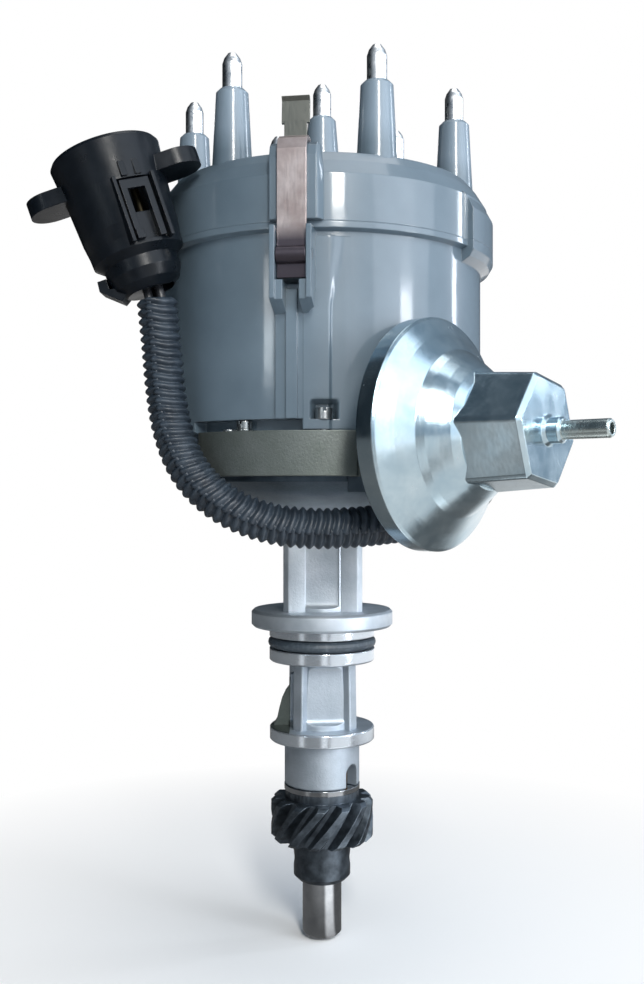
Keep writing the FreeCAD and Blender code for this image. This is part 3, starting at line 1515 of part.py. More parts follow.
def connector_leads():
    wires = []
    for turn in (90.0, 210.0, 330.0):
        shift = (2.1 * math.cos(math.radians(turn)), 2.1 * math.sin(math.radians(turn)), 0.0)
        wires.append(tube_along(offset_points(connector_lead_points, shift), wire_radius))
    return Part.makeCompound(wires)


def lead_grommet():
    outer = turned([(0, 0), (grommet_flange_radius - 0.5, 0), (grommet_flange_radius, 0.5),
                    (grommet_flange_radius, 1.6), (grommet_hole_radius, 1.6),
                    (grommet_hole_radius, 5.0), (0, 5.0)])
    frame = local_frame(polar(bowl_radius + 1.6, grommet_azimuth, grommet_z),
                        polar(1.0, grommet_azimuth + 90.0), Vector(0, 0, 1) * -1,
                        polar(-1.0, grommet_azimuth))
    return placed(outer, frame)


def connector_frame():
    tilt = math.radians(connector_tilt)
    return local_frame(Vector(*connector_top), Vector(math.cos(tilt), 0, math.sin(tilt)),
                       Vector(0, 1, 0), Vector(-math.sin(tilt), 0, math.cos(tilt)))


def latch_turned(shape):
    """Turns a form of the latch from the front to where the latch sits."""
    shape.rotate(Vector(), Vector(0, 0, 1), latch_turn)
    return shape


def connector_wing(side):
    tip = rod(wing_tip_radius, -wing_low, -wing_high, side * wing_reach, 0)
    arm = block(min(0, side * wing_reach), max(0, side * wing_reach), -wing_tip_radius,
                wing_tip_radius, -wing_low, -wing_high)
    return [tip, arm]


def connector_hook():
    """The hooked foot at the lower left of the connector."""
    points = [Vector(x, -hook_half_width, z) for x, z in hook_outline]
    hook = Part.Face(Part.makePolygon(points + points[:1]))
    return hook.extrude(Vector(0, 2 * hook_half_width, 0))


def latch_frame_forms():
    """Guide rails beside the latch, two stops above it and the thin rib to its left."""
    depth = connector_body_radius + 1.0
    forms = []
    for side in (-1, 1):
        x = side * (latch_window_width / 2 + 0.6)
        forms.append(block(x - 0.5, x + 0.5, -depth, -12.0, -latch_low - 0.6, -latch_high + 0.6))
    for x in (-3.4, 0.8):
        forms.append(block(x, x + 1.7, -depth - 0.3, -13.0, -latch_high + 0.4, -latch_high + 4.6))
    return [latch_turned(form) for form in forms]


def connector_shell():
    body = turned(connector_outline)
    wings = connector_wing(-1) + connector_wing(1)
    body = fused([body, connector_hook()] + wings + latch_frame_forms())
    window = latch_turned(block(-latch_window_width / 2, latch_window_width / 2, -18.0,
                                -connector_socket_radius + 0.6, -latch_low, -latch_high))
    socket = rod(connector_socket_radius, -connector_socket_depth, 1.0)
    lead_bore = rod(lead_bore_radius, -45.5, -39.0, lead_bore_shift, 0)
    return placed(body.cut([socket, window, lead_bore]), connector_frame())


def connector_latch():
    """The sprung latch: a frame with two legs, a bridge and a foot."""
    near = -connector_socket_radius - 0.4
    far = near - 1.4
    half = latch_half_width
    top = -latch_high - 0.4
    left = block(-half, -half + latch_leg_width, far, near + 1.0, -latch_low, top)
    right = block(half - latch_leg_width, half, far, near + 1.0, -latch_low, top)
    bridge = block(-half, half, far, near, top - 2.6, top)
    foot = block(-half, -half + 2.3, far - 0.5, near, -latch_low, -latch_low + 2.6)
    return placed(latch_turned(fused([left, right, bridge, foot])), connector_frame())


def connector_pins():
    pins = []
    for turn in (90.0, 210.0, 330.0):
        x = connector_pin_circle * math.cos(math.radians(turn))
        y = connector_pin_circle * math.sin(math.radians(turn))
        pins.append(rod(connector_pin_radius, -connector_socket_depth, -connector_pin_drop, x, y))
    return placed(Part.makeCompound(pins), connector_frame())


def write(node, shape):
    shape.exportStep(os.path.join("parts", node + ".step"))


def main():
    os.makedirs("parts", exist_ok=True)
    write("base_housing", base_housing())
    write("lower_bushing", bushing(barrel_bottom_z + 0.4, lower_bushing_top_z).cut(oil_slot()))
    write("upper_bushing", bushing(upper_bushing_bottom_z, bowl_floor_z + 0.6))
    write("flange_o_ring", flange_o_ring())
    write("drive_shaft", drive_shaft())
    write("drive_gear", drive_gear())
    write("gear_roll_pin", gear_roll_pin())
    write("gear_thrust_washer", gear_thrust_washer())
    write("upper_thrust_washer", upper_thrust_washer())
    write("weight_plate", weight_plate())
    write("weight_pivot_pins", weight_pivot_pins())
    write("advance_weight_a", advance_weight(0))
    write("advance_weight_b", advance_weight(1))
    write("weight_springs", weight_springs())
    write("advance_sleeve", advance_sleeve())
    write("sleeve_retainer", sleeve_retainer())
    write("base_plate", base_plate())
    write("plate_screws", plate_screws())
    write("pickup_plate", pickup_plate())
    write("plate_retaining_ring", plate_retaining_ring())
    write("reluctor", reluctor())
    write("reluctor_roll_pin", reluctor_roll_pin())
    bracket, pole = pickup_pole()
    write("pickup_bracket", bracket)
    write("pickup_pole", pole)
    write("pickup_magnet", pickup_magnet())
    write("pickup_coil", pickup_coil())
    write("rotor", rotor())
    write("rotor_blade", rotor_blade())
    write("rotor_contact_spring", rotor_contact_spring())
    write("adapter_ring", adapter_ring())
    write("adapter_screws", adapter_screws())
    write("ground_screw", ground_screw())
    write("ground_washer", ground_washer())
    write("distributor_cap", distributor_cap())
    write("tower_terminals", tower_terminals())
    write("centre_terminal", centre_terminal())
    write("carbon_button", carbon_button())
    write("clip_pins", clip_pins())
    write("front_clip", spring_clip(clip_azimuths[0]))
    write("rear_clip", spring_clip(clip_azimuths[1]))
    write("vacuum_front_shell", vacuum_front_shell())
    write("vacuum_nipple", vacuum_nipple())
    write("vacuum_back_shell", vacuum_back_shell())
    write("bracket_screws", bracket_screws())
    write("vacuum_diaphragm", vacuum_diaphragm())
    write("diaphragm_spring", diaphragm_spring())
    write("vacuum_rod", vacuum_rod())
    write("lead_grommet", lead_grommet())
    write("pickup_leads", pickup_leads())
    write("lead_loom", lead_loom())
    write("connector_leads", connector_leads())
    write("connector_shell", connector_shell())
    write("connector_latch", connector_latch())
    write("connector_pins", connector_pins())


main()
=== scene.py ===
import json
import math

import bmesh
import bpy
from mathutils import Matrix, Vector


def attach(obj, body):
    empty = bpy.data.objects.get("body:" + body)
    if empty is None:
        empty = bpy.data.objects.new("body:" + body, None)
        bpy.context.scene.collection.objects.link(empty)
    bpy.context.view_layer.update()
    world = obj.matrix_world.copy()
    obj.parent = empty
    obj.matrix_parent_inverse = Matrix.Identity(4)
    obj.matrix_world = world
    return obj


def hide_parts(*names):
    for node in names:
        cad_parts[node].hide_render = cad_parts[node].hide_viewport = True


# Ignition distributor: the looks of its castings, mouldings, steel parts, loom and leads.
# Metres, with +Z up the shaft and -Y to the front, and azimuths from the front towards +X.

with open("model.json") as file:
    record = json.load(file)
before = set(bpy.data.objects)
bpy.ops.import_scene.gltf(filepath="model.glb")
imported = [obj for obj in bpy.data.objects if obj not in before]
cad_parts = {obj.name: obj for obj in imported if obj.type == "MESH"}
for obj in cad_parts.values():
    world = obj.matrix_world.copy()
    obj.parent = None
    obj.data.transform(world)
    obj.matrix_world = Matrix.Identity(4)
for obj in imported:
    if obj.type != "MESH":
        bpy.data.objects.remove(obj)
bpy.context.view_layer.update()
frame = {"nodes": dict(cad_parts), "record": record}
nodes = frame["nodes"]

mm = 0.001

# Camera, as the photograph was taken: level, a little above the flange
focal_px = 1058.0
image_height_px = 984.0
sensor_mm = 36.0
camera_distance = 346.2 * mm
camera_height = 43.5 * mm

# Room
floor_z = -101.6 * mm
floor_size = 6.0
floor_shadow_start = 0.03
floor_shadow_end = 0.22
wall_dark = "#141b1f"
wall_light = "#b8c9da"
wall_light_side = (0.82, -0.57, 0.0)
wall_light_from = -0.7
wall_light_to = 0.9
wall_strength = 0.9

# Bright stretches of the floor that the metal mirrors: azimuth, half width and soft edge
# in degrees, strength, and start and end from the shaft's axis
floor_bands = (
    (-43.6, 3.0, 4.0, 0.85, 0.17, 3.0), (5.5, 4.5, 4.0, 1.05, 0.17, 3.0),
    (41.0, 22.0, 4.0, 0.9, 0.0, 3.0), (41.0, 17.0, 15.0, 2.0, 0.0, 0.09),
    (0.0, 10.0, 60.0, 0.38, 0.0, 0.12))
band_lead_in = 0.01
band_fade = 0.05
floor_dull = 0.16
floor_far_right = 1.15
far_right_side = (0.9, 0.5, 0.0)
far_right_start = 0.2
far_right_full = 0.36

# Lights: place, target, size, watts and colour
lights = {
    "near_window": ((1.068, -0.636, 0.115), (0.024, -0.045, 0.09), (0.21, 0.43), 4.8, "#f3f8ff"),
    "far_window": ((2.907, 0.843, 0.92), (0.04, -0.03, 0.09), (0.27, 1.14), 15.0, "#eef5ff"),
    "front_window": ((0.19, -1.05, 0.68), (0.0, -0.05, 0.12), (0.16, 0.58), 11.0, "#fffdf8"),
    "soft_fill": ((0.9, -0.6, 0.7), (0.0, 0.0, 0.07), (1.0, 1.0), 6.0, "#e6eef8"),
    "left_strip": ((-0.604, -0.809, 0.25), (0.0, 0.0, 0.1), (0.09, 0.14), 0.4, "#e8f0f4"),
    "bright_wall": ((0.79, -0.94, 0.15), (0.0, 0.0, 0.05), (1.0, 0.9), 2.7, "#eef4fb"),
    "top_light": ((0.1, 0.0, 0.9), (0.0, 0.0, 0.1), (0.5, 0.5), 1.5, "#ffffff"),
}

# From here on lengths are in millimetres and angles in degrees

# Where the looks of a piece change, and the marks that tools leave on each millimetre
# Painted light: the upper neck is painted paler from these heights up
painted_light_neck_z = (-2.0, 7.0)
# Painted shade: the bowl is painted darker from these heights up
painted_shade_bowl_z = (34.0, 44.0)
pad_radius = 49.5
pad_low_z = 47.8
# Painted shade: the fin is painted darker left of this and between these heights
painted_shade_fin_x = -10.3
painted_shade_fin_z = (-32.7, -18.0)
pilot_land_z = (-36.5, -32.6)
collar_land_z = (-10.9, -0.2)
land_radius = 16.6
flange_rim_z = (1.0, 4.6)
clip_tint_z = (112.5, 117.5)
clip_tab_z = (142.5, 143.5)
# Painted light: the towers are painted paler from these heights up
painted_light_tower_z = (143.0, 150.0)
turning_marks = 5.2
grinding_marks = 6.0

# Convoluted loom
loom_points = (
    (-47.6, -41.2, 99.0), (-46.3, -40.4, 85.8), (-45.3, -40.4, 72.6), (-42.8, -42.6, 59.8),
    (-37.4, -46.7, 48.4), (-28.0, -49.2, 39.8), (-16.0, -49.2, 34.6), (-3.2, -48.2, 33.0),
    (9.8, -45.4, 33.4), (21.8, -40.2, 34.6), (32.0, -32.0, 35.8), (39.4, -21.2, 36.6))
loom_radius = 6.5
loom_pitch = 2.5
loom_depth = 1.05
loom_wall = 0.6
loom_sides = 56
loom_rows_per_ring = 8
loom_crest_fullness = 0.62
loom_slit_turn = 25.0
loom_wrap = 1.04
loom_slit_lift = 0.6
loom_slit_lift_share = 0.22
loom_lap_room = 0.62
loom_edge_shift = 0.5
loom_edge_shift_share = 0.12

# Leads
wire_radius = 1.3
sheath_radius = 2.9
pickup_lead_points = (
    (36.9, -24.9, 36.4), (46.4, -11.6, 37.8), (54.4, 2.6, 42.8), (58.6, 19.4, 49.2),
    (53.2, 33.6, 52.8), (41.8, 35.4, 52.9), (33.8, 28.6, 52.6))
connector_lead_points = ((-49.3, -40.2, 103.4), (-48.2, -40.8, 100.8), (-47.6, -41.2, 97.6))
connector_lead_circle = 2.1
connector_lead_turns = (90.0, 210.0, 330.0)

# Webs and fin of the shank: sections are across and outward, the fin's outline outward and up
flange_top_z = 5.5
upper_neck_top_z = 37.0
upper_web_azimuths = (-45.0, 48.0, 135.0, 228.0)
upper_web_section = (
    (-4.2, 11.6), (-1.4, 16.0), (-1.1, 16.2), (1.1, 16.2), (1.4, 16.0), (4.2, 11.6), (0.0, 9.5))
upper_web_sink = 0.3
lower_neck_top_z = -11.1
pilot_top_z = -32.4
lower_web_azimuths = (-38.0, 52.0, 142.0, 232.0)
lower_web_section = ((-2.0, 9.5), (-1.9, 12.2), (-1.5, 12.5), (1.5, 12.5), (1.9, 12.2), (2.0, 9.5))
lower_web_draft = 1.03
lower_web_sink = 0.2
fin_azimuth = -90.0
fin_half_thickness = 1.6
fin_outline = (
    (9.0, -15.4), (10.2, -15.8), (10.4, -19.2), (11.9, -21.3), (13.1, -23.9), (14.0, -27.2),
    (14.7, -30.4), (15.6, -31.9), (15.8, -32.6), (9.0, -32.6))

# Wall of the adapter over the screw's flute, which begins further round beside the clip's ear
adapter_radius = 51.2
pilaster_proud = 0.9
pilaster_end = 2.6
pilaster_end_blur = 4.5
flute_azimuth = 0.8
flute_half_angle = 4.7
flute_depth = 4.0
flute_floor_share = 0.6
foot_low_z = 61.05
flute_low_z = 63.85
flute_head_z = 68.1
flute_high_z = 69.6
flute_row_step = 0.35
flute_rows = 18
end_soft_z = 92.0
upper_wall_z = (71.0, 76.0, 82.0, 87.0, 92.0, 96.0, 97.2, 98.0, 98.8, 100.0, 104.0, 108.0, 112.0)
wall_top_z = 114.9
wall_start = -5.9
ear_start = -2.7
ear_low_z = 96.5
ear_high_z = 99.5
wall_end = 11.6
wall_columns = 76
wall_thickness = 1.4
wall_lift = 0.04
wall_sink = 0.1
wall_run_out = 4.5

# Flank of the cap's boss: sections across and outward from the front clip's azimuth
clip_azimuth = -8.4
boss_flank_low = ((6.4, 55.6), (6.8, 55.55), (7.2, 55.2), (8.4, 53.2), (6.4, 52.0))
boss_flank_top = ((6.4, 54.2), (6.6, 54.1), (6.8, 53.8), (7.2, 50.4), (6.4, 49.5))
joint_z = 118.8
cap_shoulder_z = 132.1
boss_flank_top_z = 140.2

# Edges sharper than these angles stay crisp
casting_crisp_angle = 32.0
wall_crisp_angle = 40.0


# Shader helpers

def linear(text):
    """The linear colour of an sRGB hex value."""
    channels = []
    for start in (1, 3, 5):
        value = int(text[start:start + 2], 16) / 255.0
        channels.append(value / 12.92 if value <= 0.04045 else ((value + 0.055) / 1.055) ** 2.4)
    return (*channels, 1.0)


def add(tree, kind, inputs=None, output=0, **settings):
    """Adds one node, with its settings and its inputs linked or set, and returns one of its outputs."""
    made = tree.nodes.new(kind)
    for name, value in settings.items():
        setattr(made, name, value)
    for name, value in (inputs or {}).items():
        socket = made.inputs[name]
        if isinstance(value, bpy.types.NodeSocket):
            tree.links.new(value, socket)
        else:
            socket.default_value = value
    return made.outputs[output] if made.outputs else None


def new_material(name):
    material = bpy.data.materials.new(name)
    material.use_nodes = True
    tree = material.node_tree
    tree.nodes.clear()
    place = add(tree, "ShaderNodeTexCoord", output="Object")
    return material, tree, place


def close_material(material, tree, shader):
    add(tree, "ShaderNodeOutputMaterial", {"Surface": shader})
    return material


def height_band(tree, height, band):
    """1 where the height lies within a band given in millimetres, else 0."""
    above = add(tree, "ShaderNodeMath", {0: height, 1: band[0] * mm}, operation="GREATER_THAN")
    below = add(tree, "ShaderNodeMath", {0: height, 1: band[1] * mm}, operation="LESS_THAN")
    return add(tree, "ShaderNodeMath", {0: above, 1: below}, operation="MULTIPLY")


def axis_radius(tree, place):
    """Distance from the shaft's axis."""
    flat = add(tree, "ShaderNodeVectorMath", {0: place, 1: (1.0, 1.0, 0.0)}, operation="MULTIPLY")
    return add(tree, "ShaderNodeVectorMath", {0: flat}, "Value", operation="LENGTH")


# Finishes: every Bevel node shows the small radius that each real edge has

def cast_aluminium():
    """Die-cast aluminium: dull and finely grained as cast, bright where it was turned."""
    material, tree, place = new_material("cast_aluminium")
    height = add(tree, "ShaderNodeSeparateXYZ", {"Vector": place}, "Z")
    aside = add(tree, "ShaderNodeSeparateXYZ", {"Vector": place}, "X")
    radius = axis_radius(tree, place)
    grain = add(tree, "ShaderNodeTexNoise", {
        "Vector": place, "Scale": 1 / (0.7 * mm), "Detail": 5.0, "Roughness": 0.65})
    cloud = add(tree, "ShaderNodeTexNoise", {
        "Vector": place, "Scale": 1 / (9.0 * mm), "Detail": 3.0, "Roughness": 0.55})
    patches = add(tree, "ShaderNodeMapRange", {"Value": cloud, "From Min": 0.3, "From Max": 0.7})

    # Colours: the plain casting below the flange and a paler colour above it, painted light on the upper
    # neck; a darker bowl, painted shade; a dull pad; and a darker fin, painted shade
    shank = add(tree, "ShaderNodeMix", {
        0: patches, 6: linear("#a3adb6"), 7: linear("#bcc5ce")}, 2, data_type="RGBA")
    # Painted light: the paler colour of the upper neck
    painted_light_neck = add(tree, "ShaderNodeMix", {
        0: patches, 6: linear("#c3ccd3"), 7: linear("#dce2e8")}, 2, data_type="RGBA")
    # Painted shade: the darker colour of the bowl
    painted_shade_bowl = add(tree, "ShaderNodeMix", {
        0: patches, 6: linear("#4d5a65"), 7: linear("#616f7a")}, 2, data_type="RGBA")
    pad = add(tree, "ShaderNodeMix", {
        0: patches, 6: linear("#6c736f"), 7: linear("#7a807e")}, 2, data_type="RGBA")
    painted_light_above_flange = add(tree, "ShaderNodeMapRange", {
        "Value": height, "From Min": painted_light_neck_z[0] * mm, "From Max": painted_light_neck_z[1] * mm})
    cast = add(tree, "ShaderNodeMix", {0: painted_light_above_flange, 6: shank, 7: painted_light_neck}, 2, data_type="RGBA")
    in_painted_shade_bowl = add(tree, "ShaderNodeMapRange", {
        "Value": height, "From Min": painted_shade_bowl_z[0] * mm, "From Max": painted_shade_bowl_z[1] * mm})
    cast = add(tree, "ShaderNodeMix", {0: in_painted_shade_bowl, 6: cast, 7: painted_shade_bowl}, 2, data_type="RGBA")
    outside = add(tree, "ShaderNodeMath", {0: radius, 1: pad_radius * mm}, operation="GREATER_THAN")
    over_pad = add(tree, "ShaderNodeMath", {0: height, 1: pad_low_z * mm}, operation="GREATER_THAN")
    pad_face = add(tree, "ShaderNodeMath", {0: outside, 1: over_pad}, operation="MULTIPLY")
    cast = add(tree, "ShaderNodeMix", {0: pad_face, 6: cast, 7: pad}, 2, data_type="RGBA")
    # Painted shade: the fin is painted darker
    at_left = add(tree, "ShaderNodeMath", {0: aside, 1: painted_shade_fin_x * mm}, operation="LESS_THAN")
    painted_shade_fin = add(tree, "ShaderNodeMath", {
        0: height_band(tree, height, painted_shade_fin_z), 1: at_left}, operation="MULTIPLY")
    cast = add(tree, "ShaderNodeMix", {0: painted_shade_fin, 6: cast, 7: linear("#5d6461")}, 2, data_type="RGBA")

    # Turned lands of the collar and pilot, and the turned rim of the flange
    bands = add(tree, "ShaderNodeMath", {
        0: height_band(tree, height, pilot_land_z), 1: height_band(tree, height, collar_land_z)},
        operation="ADD", use_clamp=True)
    wide = add(tree, "ShaderNodeMath", {0: radius, 1: land_radius * mm}, operation="GREATER_THAN")
    lands = add(tree, "ShaderNodeMath", {0: bands, 1: wide}, operation="MULTIPLY")
    turned = add(tree, "ShaderNodeMath", {
        0: lands, 1: height_band(tree, height, flange_rim_z)}, operation="ADD", use_clamp=True)
    colour = add(tree, "ShaderNodeMix", {0: lands, 6: cast, 7: linear("#ced6de")}, 2, data_type="RGBA")
    dull = add(tree, "ShaderNodeMapRange", {
        "Value": grain, "From Min": 0.3, "From Max": 0.7, "To Min": 0.44, "To Max": 0.56})
    polish = add(tree, "ShaderNodeMath", {0: lands, 1: 0.33}, operation="MULTIPLY")
    roughness = add(tree, "ShaderNodeMath", {0: dull, 1: polish}, operation="SUBTRACT")

    # Grain where it is as cast, and fine rings from the tool where it was turned
    edge = add(tree, "ShaderNodeBevel", {"Radius": 0.5 * mm}, samples=6)
    as_cast = add(tree, "ShaderNodeMath", {0: 1.0, 1: turned}, operation="SUBTRACT")
    grain_height = add(tree, "ShaderNodeMath", {0: grain, 1: as_cast}, operation="MULTIPLY")
    grained = add(tree, "ShaderNodeBump", {
        "Height": grain_height, "Distance": 0.09 * mm, "Normal": edge})
    line = add(tree, "ShaderNodeCombineXYZ", {"Z": height})
    rings = add(tree, "ShaderNodeTexNoise", {
        "Vector": line, "Scale": turning_marks / mm, "Detail": 2.0})
    ring_height = add(tree, "ShaderNodeMath", {0: rings, 1: turned}, operation="MULTIPLY")
    normal = add(tree, "ShaderNodeBump", {
        "Height": ring_height, "Distance": 0.012 * mm, "Normal": grained})
    shader = add(tree, "ShaderNodeBsdfPrincipled", {
        "Base Color": colour, "Metallic": 0.85, "Roughness": roughness, "Normal": normal})
    return close_material(material, tree, shader)


def moulded_polyester():
    """Glass-filled polyester, moulded: a waxy body under a glossy skin, with faint flow marks."""
    material, tree, place = new_material("moulded_polyester")
    height = add(tree, "ShaderNodeSeparateXYZ", {"Vector": place}, "Z")
    cloud = add(tree, "ShaderNodeTexNoise", {
        "Vector": place, "Scale": 1 / (22.0 * mm), "Detail": 3.0, "Roughness": 0.55})
    fibre = add(tree, "ShaderNodeTexNoise", {
        "Vector": place, "Scale": 1 / (0.5 * mm), "Detail": 3.0, "Roughness": 0.55})
    haze = add(tree, "ShaderNodeTexNoise", {
        "Vector": place, "Scale": 1 / (7.0 * mm), "Detail": 4.0, "Roughness": 0.55})
    flow = add(tree, "ShaderNodeTexNoise", {
        "Vector": place, "Scale": 1 / (9.0 * mm), "Detail": 1.0, "Roughness": 0.55})

    # Colour: blue grey, with paler specks of glass, and paler towers, a painted light
    patches = add(tree, "ShaderNodeMapRange", {"Value": cloud, "From Min": 0.3, "From Max": 0.72})
    colour = add(tree, "ShaderNodeMix", {
        0: patches, 6: linear("#51606b"), 7: linear("#5d6c77")}, 2, data_type="RGBA")
    specks = add(tree, "ShaderNodeMapRange", {
        "Value": fibre, "From Min": 0.62, "From Max": 0.9, "To Max": 0.12})
    colour = add(tree, "ShaderNodeMix", {
        0: specks, 6: colour, 7: linear("#8fa0ac")}, 2, data_type="RGBA")
    # Painted light: the towers paler towards their tops
    painted_light_towers = add(tree, "ShaderNodeMapRange", {
        "Value": height, "From Min": painted_light_tower_z[0] * mm, "From Max": painted_light_tower_z[1] * mm,
        "To Max": 0.45})
    colour = add(tree, "ShaderNodeMix", {
        0: painted_light_towers, 6: colour, 7: linear("#8897a4")}, 2, data_type="RGBA")

    roughness = add(tree, "ShaderNodeMapRange", {
        "Value": haze, "From Min": 0.3, "From Max": 0.7, "To Min": 0.36, "To Max": 0.46})
    skin_roughness = add(tree, "ShaderNodeMapRange", {
        "Value": haze, "From Min": 0.3, "From Max": 0.7, "To Min": 0.06, "To Max": 0.13})
    edge = add(tree, "ShaderNodeBevel", {"Radius": 0.5 * mm}, samples=6)
    waved = add(tree, "ShaderNodeBump", {"Height": flow, "Distance": 0.05 * mm, "Normal": edge})
    normal = add(tree, "ShaderNodeBump", {"Height": fibre, "Distance": 0.008 * mm, "Normal": waved})
    skin = add(tree, "ShaderNodeBump", {"Height": flow, "Distance": 0.04 * mm, "Normal": edge})
    shader = add(tree, "ShaderNodeBsdfPrincipled", {
        "Base Color": colour, "Roughness": roughness, "IOR": 1.5, "Normal": normal,
        "Coat Weight": 0.75, "Coat Roughness": skin_roughness, "Coat IOR": 1.55, "Coat Normal": skin})
    return close_material(material, tree, shader)


def zinc_plated_steel(name, base, light, roughness_low=0.2, roughness_high=0.34):
    """Bright zinc over pressed steel: bluish, with faint cloudy passivation and wiping marks."""
    material, tree, place = new_material(name)
    cloud = add(tree, "ShaderNodeTexNoise", {
        "Vector": place, "Scale": 1 / (8.0 * mm), "Detail": 4.0, "Roughness": 0.55})
    ripple = add(tree, "ShaderNodeTexNoise", {
        "Vector": place, "Scale": 1 / (9.0 * mm), "Detail": 1.0, "Roughness": 0.55})
    stroke = add(tree, "ShaderNodeMapping", {"Vector": place, "Scale": (1.0, 1.0, 0.18)})
    wiping = add(tree, "ShaderNodeTexNoise", {
        "Vector": stroke, "Scale": 1 / (0.9 * mm), "Detail": 3.0, "Roughness": 0.55})
    patches = add(tree, "ShaderNodeMapRange", {"Value": cloud, "From Min": 0.32, "From Max": 0.7})
    colour = add(tree, "ShaderNodeMix", {
        0: patches, 6: linear(base), 7: linear(light)}, 2, data_type="RGBA")
    cloudy = add(tree, "ShaderNodeMapRange", {
        "Value": cloud, "From Min": 0.3, "From Max": 0.7,
        "To Min": roughness_low, "To Max": roughness_high})
    wiped = add(tree, "ShaderNodeMapRange", {
        "Value": wiping, "From Min": 0.3, "From Max": 0.7, "To Min": -0.03, "To Max": 0.03})
    roughness = add(tree, "ShaderNodeMath", {0: cloudy, 1: wiped}, operation="ADD")
    edge = add(tree, "ShaderNodeBevel", {"Radius": 0.4 * mm}, samples=6)
    rippled = add(tree, "ShaderNodeBump", {"Height": ripple, "Distance": 0.05 * mm, "Normal": edge})
    normal = add(tree, "ShaderNodeBump", {"Height": wiping, "Distance": 0.002 * mm, "Normal": rippled})
    shader = add(tree, "ShaderNodeBsdfPrincipled", {
        "Base Color": colour, "Metallic": 1.0, "Roughness": roughness, "Normal": normal})
    return close_material(material, tree, shader)


def ground_steel():
    """Ground steel: mirror-like along the shaft, with fine rings from the grinding wheel."""
    material, tree, place = new_material("ground_steel")
    height = add(tree, "ShaderNodeSeparateXYZ", {"Vector": place}, "Z")
    line = add(tree, "ShaderNodeCombineXYZ", {"Z": height})
    rings = add(tree, "ShaderNodeTexNoise", {
        "Vector": line, "Scale": grinding_marks / mm, "Detail": 2.0})
    cloud = add(tree, "ShaderNodeTexNoise", {
        "Vector": place, "Scale": 1 / (6.0 * mm), "Detail": 3.0, "Roughness": 0.55})
    patches = add(tree, "ShaderNodeMapRange", {"Value": cloud, "From Min": 0.3, "From Max": 0.7})
    colour = add(tree, "ShaderNodeMix", {
        0: patches, 6: linear("#a3a7ac"), 7: linear("#bbbfc3")}, 2, data_type="RGBA")
    roughness = add(tree, "ShaderNodeMapRange", {
        "Value": rings, "From Min": 0.3, "From Max": 0.7, "To Min": 0.1, "To Max": 0.2})
    edge = add(tree, "ShaderNodeBevel", {"Radius": 0.25 * mm}, samples=6)
    normal = add(tree, "ShaderNodeBump", {"Height": rings, "Distance": 0.006 * mm, "Normal": edge})
    shader = add(tree, "ShaderNodeBsdfPrincipled", {
        "Base Color": colour, "Metallic": 1.0, "Roughness": roughness, "Normal": normal})
    return close_material(material, tree, shader)


def black_oxide_steel():
    """Black oxide over machined steel: near black and oily, paler where teeth are rubbed."""
    material, tree, place = new_material("black_oxide_steel")
    cloud = add(tree, "ShaderNodeTexNoise", {
        "Vector": place, "Scale": 1 / (3.0 * mm), "Detail": 4.0, "Roughness": 0.55})
    grain = add(tree, "ShaderNodeTexNoise", {
        "Vector": place, "Scale": 1 / (0.35 * mm), "Detail": 3.0, "Roughness": 0.55})
    patches = add(tree, "ShaderNodeMapRange", {"Value": cloud, "From Min": 0.35, "From Max": 0.75})
    colour = add(tree, "ShaderNodeMix", {
        0: patches, 6: linear("#41484f"), 7: linear("#606972")}, 2, data_type="RGBA")
    pointed = add(tree, "ShaderNodeNewGeometry", output="Pointiness")
    rubbed = add(tree, "ShaderNodeMapRange", {
        "Value": pointed, "From Min": 0.52, "From Max": 0.6, "To Max": 0.55})
    colour = add(tree, "ShaderNodeMix", {
        0: rubbed, 6: colour, 7: linear("#7d8892")}, 2, data_type="RGBA")
    roughness = add(tree, "ShaderNodeMapRange", {
        "Value": cloud, "From Min": 0.3, "From Max": 0.7, "To Min": 0.3, "To Max": 0.44})
    edge = add(tree, "ShaderNodeBevel", {"Radius": 0.3 * mm}, samples=6)
    normal = add(tree, "ShaderNodeBump", {"Height": grain, "Distance": 0.012 * mm, "Normal": edge})
    shader = add(tree, "ShaderNodeBsdfPrincipled", {
        "Base Color": colour, "Metallic": 0.9, "Roughness": roughness, "Normal": normal})
    return close_material(material, tree, shader)


def rolled_steel(name, base, light, roughness_low=0.3, roughness_high=0.42):
    """Cold-rolled strip or drawn wire: a satin metal with faint draw lines."""
    material, tree, place = new_material(name)
    lengthwise = add(tree, "ShaderNodeMapping", {"Vector": place, "Scale": (1.0, 1.0, 0.12)})
    drawn = add(tree, "ShaderNodeTexNoise", {
        "Vector": lengthwise, "Scale": 1 / (0.25 * mm), "Detail": 3.0, "Roughness": 0.55})
    cloud = add(tree, "ShaderNodeTexNoise", {
        "Vector": place, "Scale": 1 / (6.0 * mm), "Detail": 3.0, "Roughness": 0.55})
    patches = add(tree, "ShaderNodeMapRange", {"Value": cloud, "From Min": 0.3, "From Max": 0.7})
    colour = add(tree, "ShaderNodeMix", {
        0: patches, 6: linear(base), 7: linear(light)}, 2, data_type="RGBA")
    roughness = add(tree, "ShaderNodeMapRange", {
        "Value": drawn, "From Min": 0.3, "From Max": 0.7,
        "To Min": roughness_low, "To Max": roughness_high})
    edge = add(tree, "ShaderNodeBevel", {"Radius": 0.2 * mm}, samples=6)
    normal = add(tree, "ShaderNodeBump", {"Height": drawn, "Distance": 0.006 * mm, "Normal": edge})
    shader = add(tree, "ShaderNodeBsdfPrincipled", {
        "Base Color": colour, "Metallic": 1.0, "Roughness": roughness, "Normal": normal})
    return close_material(material, tree, shader)


